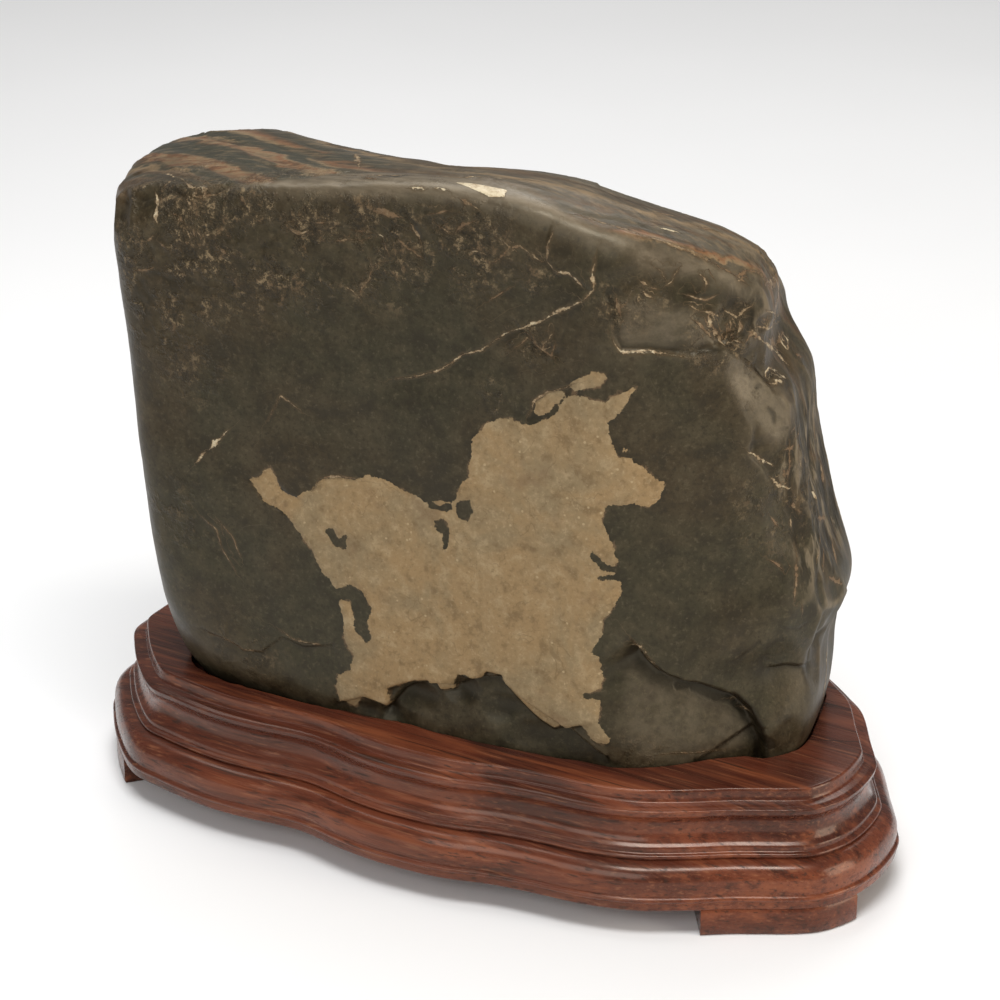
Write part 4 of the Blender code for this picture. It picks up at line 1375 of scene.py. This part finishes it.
def stone_finish(hues):
    look = Finish("dark_stone")
    ground, mottle, grain = stone_colour(look, hues)
    # Paler ground from the worn outlines: partly real wear, partly painted sheen and painted light.
    streak = look.noise(260.0, 4.0, look.stretched(0.10, 0.8, 0.8), roughness=0.65)
    worn = look.math("MULTIPLY", look.stored("worn"), look.between(streak, 0.34, 0.66, 0.4, 0.85))
    ground = look.mix(worn, ground, hues.worn)
    ground = layer_colour(look, hues, ground)
    ground, ribs = broken_colour(look, hues, ground)
    high, low, rubble = crumb_share(look)
    ground = look.mix(look.math("MULTIPLY", rubble, 0.7), ground, hues.stain)
    # Painted shade in the low pits of the crumbs.
    ground = look.mix(look.math("MULTIPLY", low, 0.8), ground, hues.pit)
    crumb_hue = look.mix(look.between(look.noise(170.0, 2.0), 0.42, 0.60),
                         hues.crumb_tan, hues.crumb_rust)
    ground = look.mix(look.math("MULTIPLY", high, 0.9), ground, crumb_hue)
    inside, edge = patch_share(look)
    # A dark rim just outside the patch: partly rust, partly painted shadow at the patch's raised
    # edge.
    rim = look.math("MULTIPLY", look.between(edge, -1.3, -0.2), look.between(
        look.noise(75.0, 2.0), 0.42, 0.58, 0.0, 0.75))
    ground = look.mix(rim, ground, look.mix(look.between(mottle, 0.44, 0.56),
                                            hues.pit, hues.patch_rust))
    ground = look.mix(inside, ground, patch_colour(look, hues))
    # Dark cracks, and painted shade along the steps and under the overhang, in the pit colour.
    ragged = look.math("MULTIPLY_ADD", look.math("SUBTRACT", mottle, 0.5), 3.0,
                       look.stored("crack_and_shade"))
    crack_and_shade_mask = look.between(ragged, -1.3, 0.9, 0.0, 0.88)
    ground = look.mix(crack_and_shade_mask, ground, hues.pit)
    vein, vein_edge_shade = vein_share(look)
    # Painted shade along the edges of the veins, in the stain colour.
    ground = look.mix(look.math("MULTIPLY", vein_edge_shade, 0.45), ground, hues.stain)
    ground = look.mix(vein, ground, vein_colour(look, hues))
    look.put(look.shader.inputs["Base Color"], ground)
    rough = look.between(mottle, 0.3, 0.7, hues.polish - 0.05, hues.polish + 0.07)
    rough = look.math("MULTIPLY_ADD", look.stored("worn"), -0.10, rough)
    rough = look.math("MULTIPLY_ADD", look.stored("ribbed"), 0.14, rough)
    rough = look.math("MULTIPLY_ADD", look.stored("broken"), 0.14, rough)
    rough = look.math("MULTIPLY_ADD", inside, 0.16, rough)
    rough = look.math("MULTIPLY_ADD", high, 0.16, rough, clamp=True)
    look.put(look.shader.inputs["Roughness"], rough)
    look.shader.inputs["Specular IOR Level"].default_value = 0.32
    look.shader.inputs["Specular Tint"].default_value = (1.0, 0.90, 0.68, 1.0)
    look.shader.inputs["Coat Weight"].default_value = 0.03
    look.shader.inputs["Coat Roughness"].default_value = 0.25
    ripple = look.noise(34.0, 4.0, roughness=0.6, warp=0.4)
    fine = look.bump(ripple, 0.0012, 0.35)
    fine = look.bump(look.math("MULTIPLY_ADD", mottle, 0.7, look.math("MULTIPLY", grain, 0.4)),
                     0.0005, 0.55, fine)
    fine = look.bump(ribs, 0.003, 0.7, fine)
    fine = look.bump(rubble, 0.003, 0.8, fine)
    raised = look.math("MULTIPLY_ADD", crack_and_shade_mask, -0.4, vein)
    fine = look.bump(raised, 0.0007, 0.9, fine)
    look.put(look.shader.inputs["Normal"], fine)
    return look.material


def wood_finish(hues):
    look = Finish("rosewood_polished")
    turn = (0.0, 0.10, 0.20)
    figure = look.noise(9.0, 4.0, look.stretched(0.7, 2.4, 3.0, turn), roughness=0.6, warp=0.9)
    streak = look.noise(34.0, 5.0, look.stretched(0.26, 4.5, 5.0, turn), roughness=0.68, warp=0.2)
    thread = look.noise(150.0, 3.0, look.stretched(0.13, 4.0, 4.5, turn), roughness=0.6)
    tone = look.mix(look.between(figure, 0.34, 0.64), hues.wood_dark, hues.wood_red)
    tone = look.mix(look.between(streak, 0.50, 0.72, 0.0, 0.65), tone, hues.wood_orange)
    tone = look.mix(look.between(streak, 0.47, 0.30, 0.0, 0.75), tone, hues.wood_shadow)
    glow = look.math("MULTIPLY", look.between(figure, 0.54, 0.68, 0.0, 0.5),
                     look.between(streak, 0.38, 0.55))
    tone = look.mix(glow, tone, hues.wood_orange)
    tone = look.mix(look.between(thread, 0.56, 0.70, 0.0, 0.45), tone, hues.wood_fleck)
    pore = look.between(thread, 0.43, 0.33)
    tone = look.mix(look.math("MULTIPLY", pore, 0.75), tone, hues.wood_pore)
    seam = board_seam(look)
    tone = look.mix(seam, tone, hues.wood_pore)
    look.put(look.shader.inputs["Base Color"], tone)
    rough = look.between(streak, 0.3, 0.7, hues.wood_polish - 0.05, hues.wood_polish + 0.08)
    rough = look.math("MULTIPLY_ADD", pore, 0.25, rough, clamp=True)
    look.put(look.shader.inputs["Roughness"], rough)
    look.shader.inputs["Specular IOR Level"].default_value = 0.40
    look.shader.inputs["Specular Tint"].default_value = (1.0, 0.72, 0.55, 1.0)
    look.shader.inputs["Coat Weight"].default_value = 0.22
    look.shader.inputs["Coat Roughness"].default_value = 0.13
    uneven = look.bump(figure, 0.0008, 0.3)
    uneven = look.bump(look.math("ADD", pore, seam), 0.0003, -0.6, uneven)
    look.put(look.shader.inputs["Normal"], uneven)
    return look.material


def board_seam(look):
    """The joint between two boards, a thin line across the stand's right end."""
    place = look.tree.nodes.new("ShaderNodeSeparateXYZ")
    look.put(place.inputs[0], look.here)
    start, end = np.array(SEAM) * MM + FRAME_SHIFT[:2]
    slope = (end - start)[1] / (end - start)[0]
    across = look.math("MULTIPLY_ADD", place.outputs[0], -slope, place.outputs[1])
    across = look.math("SUBTRACT", across, start[1] - slope * start[0])
    line = look.between(look.math("ABSOLUTE", across), 0.45 * MM, 0.15 * MM)
    return look.math("MULTIPLY", line, look.math("GREATER_THAN", place.outputs[0], start[0] - 0.06))


def floor_finish(hues):
    look = Finish("pale_floor")
    cloth = look.noise(3.0, 2.0)
    look.put(look.shader.inputs["Base Color"],
             look.mix(look.between(cloth, 0.3, 0.7), hues.floor, hues.floor_soft))
    look.shader.inputs["Roughness"].default_value = 0.75
    look.shader.inputs["Specular IOR Level"].default_value = 0.2
    return look.material


# ---------------------------------------------------------------- settings
def hue(name, words, value):
    return FloatVectorProperty(name=name, description=words, default=value, size=3,
                               min=0.0, max=1.0, subtype="COLOR")


class RockShape(PropertyGroup):
    hardness: FloatProperty(
        name="Edge hardness", description="Higher is a crisper edge between two faces",
        default=20.0, min=4.0, max=60.0)
    coarse: FloatProperty(
        name="Coarse edge", description="Longest mesh edge behind and below",
        default=5.8 * MM, unit="LENGTH")
    medium: FloatProperty(
        name="Medium edge", description="Longest mesh edge on the open faces",
        default=3.7 * MM, unit="LENGTH")
    fine: FloatProperty(
        name="Fine edge", description="Longest mesh edge along veins, steps and the patch",
        default=1.5 * MM, unit="LENGTH")
    chips: IntProperty(
        name="Chips", description="Small chips on the broken right end", default=130, min=0)
    chip_seed: IntProperty(
        name="Chip seed", description="Draws another set of small chips", default=7)


class RockHues(PropertyGroup):
    dark_brown: hue("Dark brown", "Warmer part of the dark stone", (0.0295, 0.0198, 0.0090))
    dark_olive: hue("Dark olive", "Greener part of the dark stone", (0.0235, 0.0200, 0.0100))
    dark_pale: hue("Pale mottle", "Lighter mottling", (0.046, 0.0355, 0.0190))
    dust: hue("Dust", "Pale specks and hairlines", (0.085, 0.066, 0.038))
    # Also the colour of the painted shade in hollows, cracks, crumb pits and under the overhang.
    pit: hue("Pit", "Dark of pits and hollows", (0.010, 0.0072, 0.0038))
    crest: hue("Crest", "Pale worn crests of the broken end", (0.17, 0.133, 0.085))
    # Also the colour of the painted shade along the edges of the veins.
    stain: hue("Stain", "Brown stains of broken places", (0.066, 0.042, 0.020))
    patch_warm: hue("Patch, warm", "Warm part of the tan patch", (0.250, 0.163, 0.077))
    patch_grey: hue("Patch, grey", "Greyer part of the tan patch", (0.203, 0.147, 0.079))
    patch_pale: hue("Patch, pale", "Pale flecks of the patch", (0.36, 0.27, 0.153))
    patch_brown: hue("Patch, brown", "Brown flecks of the patch", (0.122, 0.077, 0.035))
    patch_rust: hue("Patch, rust", "Rusty stains at the patch", (0.150, 0.090, 0.047))
    vein_cream: hue("Vein", "Cream of the veins", (0.50, 0.42, 0.28))
    crumb_tan: hue("Crumb, tan", "Tan crumbs", (0.25, 0.18, 0.10))
    crumb_rust: hue("Crumb, rust", "Rusty crumbs", (0.130, 0.083, 0.044))
    layer_green: hue("Layer, green", "Dark green layers", (0.033, 0.032, 0.0195))
    layer_grey: hue("Layer, grey", "Grey layers", (0.074, 0.060, 0.040))
    layer_tan: hue("Layer, tan", "Tan layers", (0.215, 0.145, 0.077))
    layer_red: hue("Layer, red", "Reddish layers", (0.175, 0.078, 0.034))
    layer_brown: hue("Layer, brown", "Brown layers", (0.075, 0.043, 0.020))
    vein_tan: hue("Vein, tan", "Duller veins", (0.31, 0.225, 0.13))
    # Also paints the sheen of the crown's ridge and the brighter light on the flake, the recess and
    # the right facet.
    worn: hue("Worn", "Pale ground of the worn ridge", (0.195, 0.154, 0.104))
    polish: FloatProperty(
        name="Polish", description="Roughness of the waxed stone", default=0.40,
        min=0.05, max=1.0, subtype="FACTOR")


class StandShape(PropertyGroup):
    outline_steps: IntProperty(
        name="Outline steps", description="Corners round the outline", default=420, min=60)


class WoodHues(PropertyGroup):
    wood_dark: hue("Dark wood", "Darker figure", (0.052, 0.0135, 0.0080))
    wood_red: hue("Red wood", "Redder figure", (0.120, 0.0305, 0.0145))
    wood_orange: hue("Orange wood", "Orange streaks", (0.225, 0.064, 0.025))
    wood_fleck: hue("Flecks", "Short pale flecks of the grain", (0.26, 0.104, 0.050))
    wood_shadow: hue("Shadow wood", "Blackish streaks", (0.022, 0.007, 0.0045))
    wood_pore: hue("Pores", "Pore lines", (0.014, 0.0055, 0.0035))
    wood_polish: FloatProperty(
        name="Polish", description="Roughness of the polished wood", default=0.27,
        min=0.05, max=1.0, subtype="FACTOR")


class StageLook(PropertyGroup):
    floor: hue("Floor", "Colour of the floor", (0.93, 0.93, 0.93))
    floor_soft: hue("Floor, soft", "Faint clouding of the floor", (0.91, 0.91, 0.91))
    sky: FloatProperty(name="Sky", description="Strength of the even light", default=0.23)
    top_light: FloatProperty(
        name="Top light", description="Power of the overhead light", default=12.0,
        unit="POWER")
    side_light: FloatProperty(
        name="Side light", description="Power of the light at the right", default=13.5,
        unit="POWER")
    front_light: FloatProperty(
        name="Front light", description="Power of the wide front light", default=19.0,
        unit="POWER")
    back_light: FloatProperty(
        name="Back light", description="Power of the light behind the crown", default=7.0,
        unit="POWER")
    high_light: FloatProperty(
        name="High light", description="Power of the light overhead", default=18.0,
        unit="POWER")


# ---------------------------------------------------------------- operators
class ROCK_OT_stone(Operator):
    """Build the dark stone with its patch, veins and layers."""
    bl_idname = "scholars_rock.stone"
    bl_label = "Stone"

    def execute(self, context):
        scene = context.scene
        stone = build_stone(scene.rock_shape)
        stone.data.materials.append(stone_finish(scene.rock_hues))
        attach(stone, "root")
        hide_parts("stone")
        return {"FINISHED"}


class ROCK_OT_stand(Operator):
    """Build the rosewood stand and cut its seat to the stone."""
    bl_idname = "scholars_rock.stand"
    bl_label = "Stand"

    def execute(self, context):
        scene = context.scene
        stone = bpy.data.objects.get("stone_surface")
        if stone is None:
            raise RuntimeError("build the stone first: the seat is cut to it")
        stand = build_stand(scene.stand_shape, stone)
        stand.data.materials.append(wood_finish(scene.wood_hues))
        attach(stand, "root")
        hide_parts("stand")
        return {"FINISHED"}


def add_light(name, power, size, place, aim, tint=(1.0, 1.0, 1.0)):
    data = bpy.data.lights.new(name, "AREA")
    data.color = tint
    data.energy = power
    data.shape = "RECTANGLE"
    data.size, data.size_y = size
    lamp = bpy.data.objects.new(name, data)
    lamp.location = place
    direction = Vector(aim) - Vector(place)
    lamp.rotation_euler = direction.to_track_quat("-Z", "Y").to_euler()
    bpy.context.collection.objects.link(lamp)


def add_floor(finish):
    builder = bmesh.new()
    bmesh.ops.create_grid(builder, x_segments=12, y_segments=12, size=6.0)
    mesh = bpy.data.meshes.new("pale_floor")
    builder.to_mesh(mesh)
    builder.free()
    floor = bpy.data.objects.new("pale_floor", mesh)
    floor.location.z = -0.2 * MM
    bpy.context.collection.objects.link(floor)
    floor.data.materials.append(finish)


def add_camera(azimuth, elevation, distance, target, lens):
    """A camera looking at target from azimuth (0 is from -Y) and elevation."""
    turn, tilt = math.radians(azimuth), math.radians(elevation)
    back = Vector((math.sin(turn) * math.cos(tilt), -math.cos(turn) * math.cos(tilt),
                   math.sin(tilt)))
    data = bpy.data.cameras.new("studio_camera")
    data.lens = lens
    data.sensor_width = 36.0
    data.clip_end = 50.0
    camera = bpy.data.objects.new("studio_camera", data)
    camera.location = Vector(target) + back * distance
    camera.rotation_euler = (-back).to_track_quat("-Z", "Y").to_euler()
    bpy.context.collection.objects.link(camera)
    bpy.context.scene.camera = camera


class ROCK_OT_stage(Operator):
    """Add the pale floor, the soft lights and the camera."""
    bl_idname = "scholars_rock.stage"
    bl_label = "Stage"

    def execute(self, context):
        look = context.scene.stage_look
        add_floor(floor_finish(look))
        add_light("top_softbox", look.top_light, (1.3, 0.9), (-0.6, 0.36, 1.68), (0, 0, 0.25))
        add_light("right_softbox", look.side_light, (0.8, 1.1), (1.6, 0.1, 0.48), (0, 0, 0.2),
                  (1.0, 0.90, 0.78))
        add_light("front_softbox", look.front_light, (1.8, 1.2), (0.2, -2.2, 1.3), (0, 0, 0.15))
        add_light("back_softbox", look.back_light, (1.1, 0.5), (-0.36, 1.4, 1.7), (0, 0, 0.3))
        add_light("high_softbox", look.high_light, (0.8, 0.5), (0.34, -0.52, 1.8), (0, 0, 0.1))
        world = bpy.data.worlds.new("even_light")
        world.use_nodes = True
        world.node_tree.nodes["Background"].inputs["Color"].default_value = (1, 1, 1, 1)
        world.node_tree.nodes["Background"].inputs["Strength"].default_value = look.sky
        context.scene.world = world
        context.scene.view_settings.view_transform = "Standard"
        target = FRAME_SHIFT + np.array((0.0, 0.0, 153.5)) * MM
        add_camera(30.0, 25.0, 1.65, target, 118.8)
        return {"FINISHED"}


class ROCK_PT_panel(Panel):
    """The rock's operators and settings."""
    bl_idname = "ROCK_PT_panel"
    bl_label = "Scholars rock"
    bl_space_type = "VIEW_3D"
    bl_region_type = "UI"
    bl_category = "Scholars rock"

    def draw(self, context):
        layout = self.layout
        for operator in OPERATORS:
            layout.operator(operator.bl_idname)
        for name in SETTINGS:
            group = getattr(context.scene, name)
            box = layout.box()
            for key in type(group).__annotations__:
                box.prop(group, key)


SETTINGS = {
    "rock_shape": RockShape,
    "rock_hues": RockHues,
    "stand_shape": StandShape,
    "wood_hues": WoodHues,
    "stage_look": StageLook,
}
OPERATORS = (ROCK_OT_stone, ROCK_OT_stand, ROCK_OT_stage)


def register():
    for group in SETTINGS.values():
        bpy.utils.register_class(group)
    for item in OPERATORS + (ROCK_PT_panel,):
        bpy.utils.register_class(item)
    for name, group in SETTINGS.items():
        setattr(bpy.types.Scene, name, PointerProperty(type=group))


def unregister():
    for name in SETTINGS:
        delattr(bpy.types.Scene, name)
    for item in (ROCK_PT_panel,) + tuple(reversed(OPERATORS)):
        bpy.utils.unregister_class(item)
    for group in reversed(tuple(SETTINGS.values())):
        bpy.utils.unregister_class(group)


def main():
    register()
    bpy.ops.scholars_rock.stone()
    bpy.ops.scholars_rock.stand()
    bpy.ops.scholars_rock.stage()


if __name__ == "__main__":
    main()
